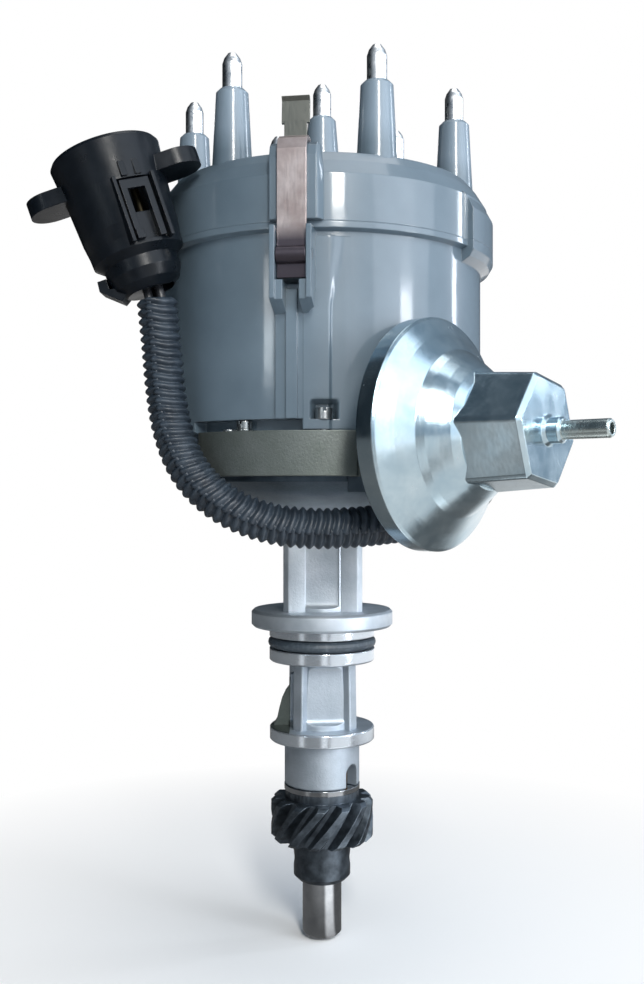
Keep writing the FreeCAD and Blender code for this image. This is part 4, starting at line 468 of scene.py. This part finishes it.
def clip_steel():
    """Stainless strip: satin and faintly pink, duller at the tab, heat-tinted brown round the pivot."""
    material, tree, place = new_material("clip_steel")
    height = add(tree, "ShaderNodeSeparateXYZ", {"Vector": place}, "Z")
    lengthwise = add(tree, "ShaderNodeMapping", {"Vector": place, "Scale": (1.0, 1.0, 0.1)})
    drawn = add(tree, "ShaderNodeTexNoise", {
        "Vector": lengthwise, "Scale": 1 / (0.3 * mm), "Detail": 3.0, "Roughness": 0.55})
    cloud = add(tree, "ShaderNodeTexNoise", {
        "Vector": place, "Scale": 1 / (5.0 * mm), "Detail": 3.0, "Roughness": 0.55})
    patches = add(tree, "ShaderNodeMapRange", {"Value": cloud, "From Min": 0.3, "From Max": 0.7})
    colour = add(tree, "ShaderNodeMix", {
        0: patches, 6: linear("#a99a97"), 7: linear("#c4b8b6")}, 2, data_type="RGBA")
    at_tab = add(tree, "ShaderNodeMapRange", {
        "Value": height, "From Min": clip_tab_z[0] * mm, "From Max": clip_tab_z[1] * mm})
    colour = add(tree, "ShaderNodeMix", {
        0: at_tab, 6: colour, 7: linear("#74756f")}, 2, data_type="RGBA")
    at_pivot = add(tree, "ShaderNodeMapRange", {
        "Value": height, "From Min": clip_tint_z[0] * mm, "From Max": clip_tint_z[1] * mm,
        "To Min": 1.0, "To Max": 0.0})
    colour = add(tree, "ShaderNodeMix", {
        0: at_pivot, 6: colour, 7: linear("#524c53")}, 2, data_type="RGBA")
    roughness = add(tree, "ShaderNodeMapRange", {
        "Value": drawn, "From Min": 0.3, "From Max": 0.7, "To Min": 0.3, "To Max": 0.42})
    edge = add(tree, "ShaderNodeBevel", {"Radius": 0.25 * mm}, samples=6)
    normal = add(tree, "ShaderNodeBump", {"Height": drawn, "Distance": 0.006 * mm, "Normal": edge})
    shader = add(tree, "ShaderNodeBsdfPrincipled", {
        "Base Color": colour, "Metallic": 0.85, "Roughness": roughness, "Normal": normal})
    return close_material(material, tree, shader)


def tinned_terminal():
    """Bright tin over steel: almost a mirror, with small dents from plugs."""
    material, tree, place = new_material("tinned_terminal")
    cloud = add(tree, "ShaderNodeTexNoise", {
        "Vector": place, "Scale": 1 / (1.6 * mm), "Detail": 3.0, "Roughness": 0.55})
    patches = add(tree, "ShaderNodeMapRange", {"Value": cloud, "From Min": 0.3, "From Max": 0.7})
    colour = add(tree, "ShaderNodeMix", {
        0: patches, 6: linear("#e6e7e8"), 7: linear("#fafafa")}, 2, data_type="RGBA")
    roughness = add(tree, "ShaderNodeMapRange", {
        "Value": cloud, "From Min": 0.3, "From Max": 0.7, "To Min": 0.24, "To Max": 0.4})
    edge = add(tree, "ShaderNodeBevel", {"Radius": 0.25 * mm}, samples=6)
    normal = add(tree, "ShaderNodeBump", {"Height": cloud, "Distance": 0.03 * mm, "Normal": edge})
    shader = add(tree, "ShaderNodeBsdfPrincipled", {
        "Base Color": colour, "Metallic": 1.0, "Roughness": roughness, "Normal": normal})
    return close_material(material, tree, shader)


def moulded_rubber():
    """Nitrile rubber: black, with a soft sheen partly painted by lifting its colours to blue grey, and
    the dust of a moulded seal.
    """
    material, tree, place = new_material("moulded_rubber")
    dust = add(tree, "ShaderNodeTexNoise", {
        "Vector": place, "Scale": 1 / (1.2 * mm), "Detail": 4.0, "Roughness": 0.55})
    # Painted sheen: both colours are lifted to blue grey; the paler one, in patches, also stands for
    # dust
    dust_and_sheen = add(tree, "ShaderNodeMapRange", {
        "Value": dust, "From Min": 0.5, "From Max": 0.85, "To Max": 0.5})
    colour = add(tree, "ShaderNodeMix", {
        0: dust_and_sheen, 6: linear("#39424a"), 7: linear("#7b8790")}, 2, data_type="RGBA")
    roughness = add(tree, "ShaderNodeMapRange", {
        "Value": dust, "From Min": 0.3, "From Max": 0.7, "To Min": 0.36, "To Max": 0.52})
    normal = add(tree, "ShaderNodeBump", {"Height": dust, "Distance": 0.012 * mm})
    shader = add(tree, "ShaderNodeBsdfPrincipled", {
        "Base Color": colour, "Roughness": roughness, "IOR": 1.52, "Normal": normal})
    return close_material(material, tree, shader)


def moulded_nylon(name, base, light, roughness_low=0.34, roughness_high=0.5, edge_mm=0.3, ior=1.53):
    """Nylon: black or dark, with a fine spark-eroded grain that softens its gloss."""
    material, tree, place = new_material(name)
    grain = add(tree, "ShaderNodeTexNoise", {
        "Vector": place, "Scale": 1 / (0.28 * mm), "Detail": 3.0, "Roughness": 0.55})
    cloud = add(tree, "ShaderNodeTexNoise", {
        "Vector": place, "Scale": 1 / (6.0 * mm), "Detail": 3.0, "Roughness": 0.55})
    patches = add(tree, "ShaderNodeMapRange", {"Value": cloud, "From Min": 0.3, "From Max": 0.7})
    colour = add(tree, "ShaderNodeMix", {
        0: patches, 6: linear(base), 7: linear(light)}, 2, data_type="RGBA")
    roughness = add(tree, "ShaderNodeMapRange", {
        "Value": cloud, "From Min": 0.3, "From Max": 0.7,
        "To Min": roughness_low, "To Max": roughness_high})
    edge = add(tree, "ShaderNodeBevel", {"Radius": edge_mm * mm}, samples=6)
    normal = add(tree, "ShaderNodeBump", {"Height": grain, "Distance": 0.014 * mm, "Normal": edge})
    shader = add(tree, "ShaderNodeBsdfPrincipled", {
        "Base Color": colour, "Roughness": roughness, "IOR": ior, "Normal": normal})
    return close_material(material, tree, shader)


def extruded_polyethylene():
    """Polyethylene loom: charcoal, slightly waxy, with pale scuffs on its crests."""
    material, tree, place = new_material("extruded_polyethylene")
    cloud = add(tree, "ShaderNodeTexNoise", {
        "Vector": place, "Scale": 1 / (4.0 * mm), "Detail": 4.0, "Roughness": 0.55})
    scuff = add(tree, "ShaderNodeTexNoise", {
        "Vector": place, "Scale": 1 / (0.8 * mm), "Detail": 4.0, "Roughness": 0.55})
    patches = add(tree, "ShaderNodeMapRange", {"Value": cloud, "From Min": 0.3, "From Max": 0.7})
    colour = add(tree, "ShaderNodeMix", {
        0: patches, 6: linear("#1d242c"), 7: linear("#2f3943")}, 2, data_type="RGBA")
    scuffed = add(tree, "ShaderNodeMapRange", {
        "Value": scuff, "From Min": 0.62, "From Max": 0.9, "To Max": 0.35})
    colour = add(tree, "ShaderNodeMix", {
        0: scuffed, 6: colour, 7: linear("#626b75")}, 2, data_type="RGBA")
    roughness = add(tree, "ShaderNodeMapRange", {
        "Value": cloud, "From Min": 0.3, "From Max": 0.7, "To Min": 0.36, "To Max": 0.48})
    normal = add(tree, "ShaderNodeBump", {"Height": scuff, "Distance": 0.012 * mm})
    shader = add(tree, "ShaderNodeBsdfPrincipled", {
        "Base Color": colour, "Roughness": roughness, "IOR": 1.51, "Normal": normal})
    return close_material(material, tree, shader)


def sintered_bronze():
    """Oil-soaked sintered bronze: brown gold, with open pores."""
    material, tree, place = new_material("sintered_bronze")
    pores = add(tree, "ShaderNodeTexNoise", {
        "Vector": place, "Scale": 1 / (0.3 * mm), "Detail": 4.0, "Roughness": 0.55})
    open_pores = add(tree, "ShaderNodeMapRange", {"Value": pores, "From Min": 0.4, "From Max": 0.7})
    colour = add(tree, "ShaderNodeMix", {
        0: open_pores, 6: linear("#6d5233"), 7: linear("#a88452")}, 2, data_type="RGBA")
    edge = add(tree, "ShaderNodeBevel", {"Radius": 0.2 * mm}, samples=6)
    normal = add(tree, "ShaderNodeBump", {"Height": pores, "Distance": 0.02 * mm, "Normal": edge})
    shader = add(tree, "ShaderNodeBsdfPrincipled", {
        "Base Color": colour, "Metallic": 0.9, "Roughness": 0.42, "Normal": normal})
    return close_material(material, tree, shader)


def pressed_carbon():
    """Pressed carbon: soft black, with a faint graphite sheen."""
    material, tree, place = new_material("pressed_carbon")
    grain = add(tree, "ShaderNodeTexNoise", {
        "Vector": place, "Scale": 1 / (0.4 * mm), "Detail": 3.0, "Roughness": 0.55})
    patches = add(tree, "ShaderNodeMapRange", {"Value": grain, "From Min": 0.3, "From Max": 0.7})
    colour = add(tree, "ShaderNodeMix", {
        0: patches, 6: linear("#1b1b1c"), 7: linear("#2e2e30")}, 2, data_type="RGBA")
    edge = add(tree, "ShaderNodeBevel", {"Radius": 0.2 * mm}, samples=6)
    normal = add(tree, "ShaderNodeBump", {"Height": grain, "Distance": 0.01 * mm, "Normal": edge})
    shader = add(tree, "ShaderNodeBsdfPrincipled", {
        "Base Color": colour, "Metallic": 0.3, "Roughness": 0.5, "Normal": normal})
    return close_material(material, tree, shader)


# Meshes

def new_mesh_object(name, work):
    mesh = bpy.data.meshes.new(name)
    work.normal_update()
    work.to_mesh(mesh)
    work.free()
    for face in mesh.polygons:
        face.use_smooth = True
    made = bpy.data.objects.new(name, mesh)
    bpy.context.scene.collection.objects.link(made)
    return made


def route_curve(name, points_mm, radius_mm=0.0):
    """A smooth line with the route's points as its control points."""
    curve = bpy.data.curves.new(name, "CURVE")
    curve.dimensions = "3D"
    spline = curve.splines.new("NURBS")
    spline.points.add(len(points_mm) - 1)
    for target, point in zip(spline.points, points_mm):
        target.co = (*(value * mm for value in point), 1.0)
    spline.order_u = 3
    spline.use_endpoint_u = True
    spline.resolution_u = 16
    curve.bevel_depth = radius_mm * mm
    curve.bevel_resolution = 6
    curve.use_fill_caps = True
    made = bpy.data.objects.new(name, curve)
    bpy.context.scene.collection.objects.link(made)
    return made


def smooth_line(points_mm):
    """Points read from the route's smooth line, close together."""
    guide = route_curve("route_guide", points_mm)
    bpy.context.view_layer.update()
    mesh = bpy.data.meshes.new_from_object(guide)
    line = [vertex.co.copy() for vertex in mesh.vertices]
    bpy.data.objects.remove(guide)
    bpy.data.meshes.remove(mesh)
    return line


def even_stations(line, step):
    """Points and directions along a line, at equal steps close to the one given."""
    lengths = [0.0]
    for first, last in zip(line, line[1:]):
        lengths.append(lengths[-1] + (last - first).length)
    count = max(2, round(lengths[-1] / step))
    places = []
    index = 0
    for number in range(count + 1):
        target = lengths[-1] * number / count
        while index < len(line) - 2 and lengths[index + 1] < target:
            index += 1
        run = lengths[index + 1] - lengths[index]
        share = (target - lengths[index]) / run if run else 0.0
        places.append(line[index].lerp(line[index + 1], share))
    directions = []
    for number in range(len(places)):
        before = places[max(number - 1, 0)]
        after = places[min(number + 1, len(places) - 1)]
        directions.append((after - before).normalized())
    return places, directions


def carried_frames(directions):
    """An across direction at each station, carried along without twist."""
    across = Vector((0.0, -1.0, 0.0))
    frames = []
    for direction in directions:
        across = (across - direction * across.dot(direction)).normalized()
        frames.append((across, direction.cross(across)))
    return frames


def crest(share):
    """Height of a convolution from 0 to 1: flat crests with rounded shoulders."""
    wave = 0.5 - 0.5 * math.cos(2 * math.pi * share)
    return wave ** loom_crest_fullness


def lead_loom():
    """The split convoluted loom, with one edge of the slit lapped over the other."""
    line = smooth_line(loom_points)
    places, directions = even_stations(line, loom_pitch * mm / loom_rows_per_ring)
    frames = carried_frames(directions)
    slit = math.radians(loom_slit_turn)
    work = bmesh.new()
    layers = []
    for inner in (False, True):
        rows = []
        for number, (place, (across, up)) in enumerate(zip(places, frames)):
            row = []
            for side in range(loom_sides + 1):
                turn = side / loom_sides
                lap = loom_slit_lift * max(0.0, 1.0 - turn / loom_slit_lift_share) ** 1.5
                shift = loom_edge_shift * max(0.0, 1.0 - turn / loom_edge_shift_share)
                share = number / loom_rows_per_ring + shift
                groove = loom_depth * (1.0 - crest(share % 1.0))
                radius = loom_radius - loom_lap_room - groove + lap
                if inner:
                    radius -= loom_wall
                angle = slit - 2 * math.pi * turn * loom_wrap
                point = place + (across * math.cos(angle) + up * math.sin(angle)) * radius * mm
                row.append(work.verts.new(point))
            rows.append(row)
        layers.append(rows)
    for rows, flip in zip(layers, (False, True)):
        for first, last in zip(rows, rows[1:]):
            for side in range(loom_sides):
                corners = [first[side], last[side], last[side + 1], first[side + 1]]
                work.faces.new(corners[::-1] if flip else corners)
    outer, lining = layers
    for number in range(len(outer) - 1):
        for side, order in ((0, 1), (loom_sides, -1)):
            corners = [outer[number][side], lining[number][side],
                       lining[number + 1][side], outer[number + 1][side]]
            work.faces.new(corners[::order])
    for number, order in ((0, 1), (len(outer) - 1, -1)):
        for side in range(loom_sides):
            corners = [outer[number][side], outer[number][side + 1],
                       lining[number][side + 1], lining[number][side]]
            work.faces.new(corners[::order])
    bmesh.ops.recalc_face_normals(work, faces=work.faces)
    return new_mesh_object("lead_loom_cover", work), line


def shifted(points, offset):
    return [tuple(value + shift for value, shift in zip(point, offset)) for point in points]


def polar(lateral, outward, azimuth):
    """A flat point given across and along an azimuth, which counts from the front towards +X."""
    angle = math.radians(azimuth)
    return (lateral * math.cos(angle) + outward * math.sin(angle),
            lateral * math.sin(angle) - outward * math.cos(angle))


def lofted(name, rings):
    """A closed form through rings with the same number of points, with sharp edges kept."""
    work = bmesh.new()
    rows = [[work.verts.new([value * mm for value in point]) for point in ring] for ring in rings]
    for first, last in zip(rows, rows[1:]):
        for side in range(len(first)):
            after = (side + 1) % len(first)
            work.faces.new([first[side], first[after], last[after], last[side]])
    work.faces.new(rows[0][::-1])
    work.faces.new(rows[-1])
    bmesh.ops.recalc_face_normals(work, faces=work.faces)
    made = new_mesh_object(name, work)
    made.data.set_sharp_from_angle(angle=math.radians(casting_crisp_angle))
    return made


def upright(section, azimuth, height, scale=1.0):
    """A section's points, turned to an azimuth and set at a height."""
    return [(*polar(lateral * scale, outward * scale, azimuth), height)
            for lateral, outward in section]


def upper_web(number, azimuth):
    return lofted(f"upper_web_{number}", [
        upright(upper_web_section, azimuth, flange_top_z - upper_web_sink),
        upright(upper_web_section, azimuth, upper_neck_top_z)])


def lower_web(number, azimuth):
    return lofted(f"lower_web_{number}", [
        upright(lower_web_section, azimuth, pilot_top_z - lower_web_sink, lower_web_draft),
        upright(lower_web_section, azimuth, lower_neck_top_z + lower_web_sink)])


def shank_fin():
    rings = []
    for side in (-fin_half_thickness, fin_half_thickness):
        rings.append([(*polar(side, outward, fin_azimuth), height)
                      for outward, height in fin_outline])
    return lofted("shank_fin", rings)


def boss_flank():
    return lofted("cap_boss_flank", [
        upright(boss_flank_low, clip_azimuth, joint_z),
        upright(boss_flank_low, clip_azimuth, cap_shoulder_z),
        upright(boss_flank_top, clip_azimuth, boss_flank_top_z)])


def smooth_step(value):
    held = min(max(value, 0.0), 1.0)
    return held * held * (3.0 - 2.0 * held)


def run_out(distance):
    """How far the wall's border dips under the adapter's own face."""
    return wall_sink * (1.0 - smooth_step(distance / wall_run_out))


def wall_outward(azimuth, height):
    """Radius of the wall's face: the pilaster and its end, less the hollow over the screw."""
    blur = smooth_step((height - end_soft_z) / (wall_top_z - end_soft_z))
    softness = 1.0 + pilaster_end_blur * blur
    proud = pilaster_proud * (1.0 - smooth_step((azimuth - pilaster_end + 0.5) / softness))
    share = abs(azimuth - flute_azimuth) / flute_half_angle
    rise = 1.0 - smooth_step((height - flute_head_z) / (flute_high_z - flute_head_z))
    if height < flute_low_z:
        rise = 0.0
    side = smooth_step((share - flute_floor_share) / (1.0 - flute_floor_share))
    hollow = flute_depth * rise * (1.0 - side)
    border = math.radians(wall_end - azimuth) * adapter_radius
    return adapter_radius + wall_lift + proud - hollow - run_out(border)


def flute_wall():
    """The adapter's wall over the screw: a hollow that is deepest at the foot and runs out upwards."""
    work = bmesh.new()
    heights = [foot_low_z, flute_low_z - 0.2, flute_low_z - 0.01, flute_low_z]
    heights += [flute_low_z + flute_row_step * (row + 1) for row in range(flute_rows)]
    heights += [*upper_wall_z, wall_top_z]
    top = len(heights) - 1
    layers = []
    for inset in (0.0, wall_thickness):
        rows = []
        for height in heights:
            row = []
            beside = smooth_step((height - ear_low_z) / (ear_high_z - ear_low_z))
            start = wall_start + (ear_start - wall_start) * beside
            for side in range(wall_columns + 1):
                azimuth = start + (wall_end - start) * side / wall_columns
                point = (*polar(0.0, wall_outward(azimuth, height) - inset, azimuth), height)
                row.append(work.verts.new([value * mm for value in point]))
            rows.append(row)
        layers.append(rows)
        for first, last in zip(rows, rows[1:]):
            for side in range(wall_columns):
                work.faces.new([first[side], first[side + 1], last[side + 1], last[side]])
    face, back = layers
    for level in range(top):
        for side in (0, wall_columns):
            work.faces.new([face[level][side], back[level][side],
                            back[level + 1][side], face[level + 1][side]])
    for level in (0, top):
        for side in range(wall_columns):
            work.faces.new([face[level][side], back[level][side],
                            back[level][side + 1], face[level][side + 1]])
    bmesh.ops.recalc_face_normals(work, faces=work.faces)
    made = new_mesh_object("flute_wall", work)
    made.data.set_sharp_from_angle(angle=math.radians(wall_crisp_angle))
    return made


# Dressing

def fitted(piece, slot):
    """Gives a piece made here its slot's finish and ties it to the housing."""
    piece.data.materials.append(finishes[slot])
    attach(piece, "housing")
    return piece


finishes = {
    "cast_aluminium": cast_aluminium(),
    "bronze": sintered_bronze(),
    "black_rubber": moulded_rubber(),
    "ground_steel": ground_steel(),
    "black_oxide_steel": black_oxide_steel(),
    "spring_steel": rolled_steel("spring_steel", "#6b6b6d", "#84858a"),
    "plain_steel": rolled_steel("pressed_steel", "#7d7f80", "#999b9c"),
    "zinc_screw": zinc_plated_steel("zinc_screw", "#a3a5a2", "#cfd2d2"),
    "blue_grey_plastic": moulded_polyester(),
    "bright_terminal": tinned_terminal(),
    "carbon": pressed_carbon(),
    "clip_steel": clip_steel(),
    "zinc_plated_steel": zinc_plated_steel("zinc_plated_steel", "#adc3cf", "#c4d5dd", 0.16, 0.26),
    "nipple_steel": zinc_plated_steel("nipple_steel", "#b9c6c5", "#d5e0df"),
    "dark_plastic": moulded_nylon("dark_moulding", "#1c1f24", "#2b2f36"),
    "brass": rolled_steel("dull_brass", "#37332a", "#4a4436", 0.5, 0.6),
    "wire_cover": moulded_nylon("wire_cover", "#17181b", "#26282c", 0.3, 0.4, 0.1),
    "loom_plastic": extruded_polyethylene(),
    "connector_plastic": moulded_nylon("connector_nylon", "#050a10", "#0b1118", 0.26, 0.4, 0.3, 1.34),
}

for entry in frame["record"]["subparts"]:
    materials = nodes[entry["node"]].data.materials
    materials.clear()
    materials.append(finishes[entry["material_slot"]])

loom, loom_line = lead_loom()
fitted(loom, "loom_plastic")
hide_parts("lead_loom")

sheath = fitted(route_curve("pickup_lead_sheath", pickup_lead_points, sheath_radius), "wire_cover")
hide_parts("pickup_leads")

for number, azimuth in enumerate(upper_web_azimuths):
    fitted(upper_web(number + 1, azimuth), "cast_aluminium")
for number, azimuth in enumerate(lower_web_azimuths):
    fitted(lower_web(number + 1, azimuth), "cast_aluminium")
fitted(shank_fin(), "cast_aluminium")
fitted(flute_wall(), "blue_grey_plastic")
fitted(boss_flank(), "blue_grey_plastic")

for number, turn in enumerate(connector_lead_turns):
    angle = math.radians(turn)
    offset = (connector_lead_circle * math.cos(angle), connector_lead_circle * math.sin(angle), 0.0)
    route = shifted(connector_lead_points, offset)
    wire = fitted(route_curve(f"connector_lead_{number + 1}", route, wire_radius), "wire_cover")
    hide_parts("connector_leads")


# Room, lights and camera

def area_light(name, place, target, size, watts, colour):
    data = bpy.data.lights.new(name, "AREA")
    data.shape = "RECTANGLE"
    data.size, data.size_y = size
    data.energy = watts
    data.color = linear(colour)[:3]
    lamp = bpy.data.objects.new(name, data)
    lamp.location = place
    lamp.rotation_euler = (Vector(target) - Vector(place)).to_track_quat("-Z", "Y").to_euler()
    bpy.context.scene.collection.objects.link(lamp)


def floor_glow(tree, place):
    """How bright the floor is where metal mirrors it: bands to the front, and far off on the right."""
    aside = add(tree, "ShaderNodeSeparateXYZ", {"Vector": place}, "X")
    behind = add(tree, "ShaderNodeSeparateXYZ", {"Vector": place}, "Y")
    ahead = add(tree, "ShaderNodeMath", {0: behind, 1: -1.0}, operation="MULTIPLY")
    azimuth = add(tree, "ShaderNodeMath", {0: aside, 1: ahead}, operation="ARCTAN2")
    along = add(tree, "ShaderNodeVectorMath", {0: place, 1: far_right_side}, "Value",
                operation="DOT_PRODUCT")
    glow = add(tree, "ShaderNodeMapRange", {
        "Value": along, "From Min": far_right_start, "From Max": far_right_full,
        "To Min": floor_dull, "To Max": floor_far_right})
    radius = axis_radius(tree, place)
    for middle, half_width, edge, strength, start, end in floor_bands:
        turn = add(tree, "ShaderNodeMath", {0: azimuth, 1: math.radians(middle)}, operation="SUBTRACT")
        offset = add(tree, "ShaderNodeMath", {0: turn}, operation="ABSOLUTE")
        band = add(tree, "ShaderNodeMapRange", {
            "Value": offset, "From Min": math.radians(half_width),
            "From Max": math.radians(half_width + edge), "To Min": strength, "To Max": floor_dull})
        begins = add(tree, "ShaderNodeMapRange", {
            "Value": radius, "From Min": start - band_lead_in, "From Max": start + band_fade})
        ends = add(tree, "ShaderNodeMapRange", {
            "Value": radius, "From Min": end, "From Max": end + band_fade,
            "To Min": 1.0, "To Max": 0.0})
        reach = add(tree, "ShaderNodeMath", {0: begins, 1: ends}, operation="MULTIPLY")
        lit = add(tree, "ShaderNodeMath", {0: band, 1: reach}, operation="MULTIPLY")
        glow = add(tree, "ShaderNodeMath", {0: glow, 1: lit}, operation="MAXIMUM")
    return glow


def pale_floor():
    """A white floor that keeps the soft shadow near the object and fades into the backdrop."""
    work = bmesh.new()
    bmesh.ops.create_grid(work, x_segments=2, y_segments=2, size=floor_size / 2)
    floor = new_mesh_object("floor", work)
    floor.location = (0, 0, floor_z)
    material, tree, place = new_material("white_floor")
    far = add(tree, "ShaderNodeMapRange", {
        "Value": axis_radius(tree, place), "From Min": floor_shadow_start, "From Max": floor_shadow_end})
    seen = add(tree, "ShaderNodeLightPath", output="Is Camera Ray")
    mirrored = add(tree, "ShaderNodeLightPath", output="Is Glossy Ray")
    glow = add(tree, "ShaderNodeMix", {0: mirrored, 2: 1.0, 3: floor_glow(tree, place)})
    white = add(tree, "ShaderNodeEmission", {"Color": linear("#ffffff"), "Strength": glow})
    paper = add(tree, "ShaderNodeBsdfDiffuse", {"Color": linear("#f4f4f4")})
    open_floor = add(tree, "ShaderNodeMath", {0: seen, 1: far}, operation="MULTIPLY")
    share = add(tree, "ShaderNodeMath", {0: open_floor, 1: mirrored}, operation="MAXIMUM")
    mixed = add(tree, "ShaderNodeMixShader", {0: share, 1: paper, 2: white})
    close_material(material, tree, mixed)
    floor.data.materials.append(material)


def white_room():
    """White behind the object, and a duller grey room that lights and is mirrored in it."""
    world = bpy.data.worlds.new("studio")
    world.use_nodes = True
    tree = world.node_tree
    tree.nodes.clear()
    seen = add(tree, "ShaderNodeLightPath", output="Is Camera Ray")
    direction = add(tree, "ShaderNodeTexCoord", output="Generated")
    towards = add(tree, "ShaderNodeVectorMath", {0: direction, 1: wall_light_side}, "Value",
                  operation="DOT_PRODUCT")
    share = add(tree, "ShaderNodeMapRange", {
        "Value": towards, "From Min": wall_light_from, "From Max": wall_light_to})
    room = add(tree, "ShaderNodeMix", {
        0: share, 6: linear(wall_dark), 7: linear(wall_light)}, 2, data_type="RGBA")
    dull = add(tree, "ShaderNodeBackground", {"Color": room, "Strength": wall_strength})
    white = add(tree, "ShaderNodeBackground", {"Color": linear("#ffffff"), "Strength": 1.0})
    mixed = add(tree, "ShaderNodeMixShader", {0: seen, 1: dull, 2: white})
    add(tree, "ShaderNodeOutputWorld", {"Surface": mixed})
    bpy.context.scene.world = world


def camera():
    data = bpy.data.cameras.new("camera")
    data.sensor_width = sensor_mm
    data.lens = focal_px / image_height_px * sensor_mm
    data.clip_start = 0.01
    made = bpy.data.objects.new("camera", data)
    made.location = (0.0, -camera_distance, camera_height)
    made.rotation_euler = (math.pi / 2, 0.0, 0.0)
    bpy.context.scene.collection.objects.link(made)
    bpy.context.scene.camera = made


pale_floor()
white_room()
for name, (place, target, size, watts, colour) in lights.items():
    area_light(name, place, target, size, watts, colour)
camera()
bpy.context.scene.view_settings.view_transform = "Standard"
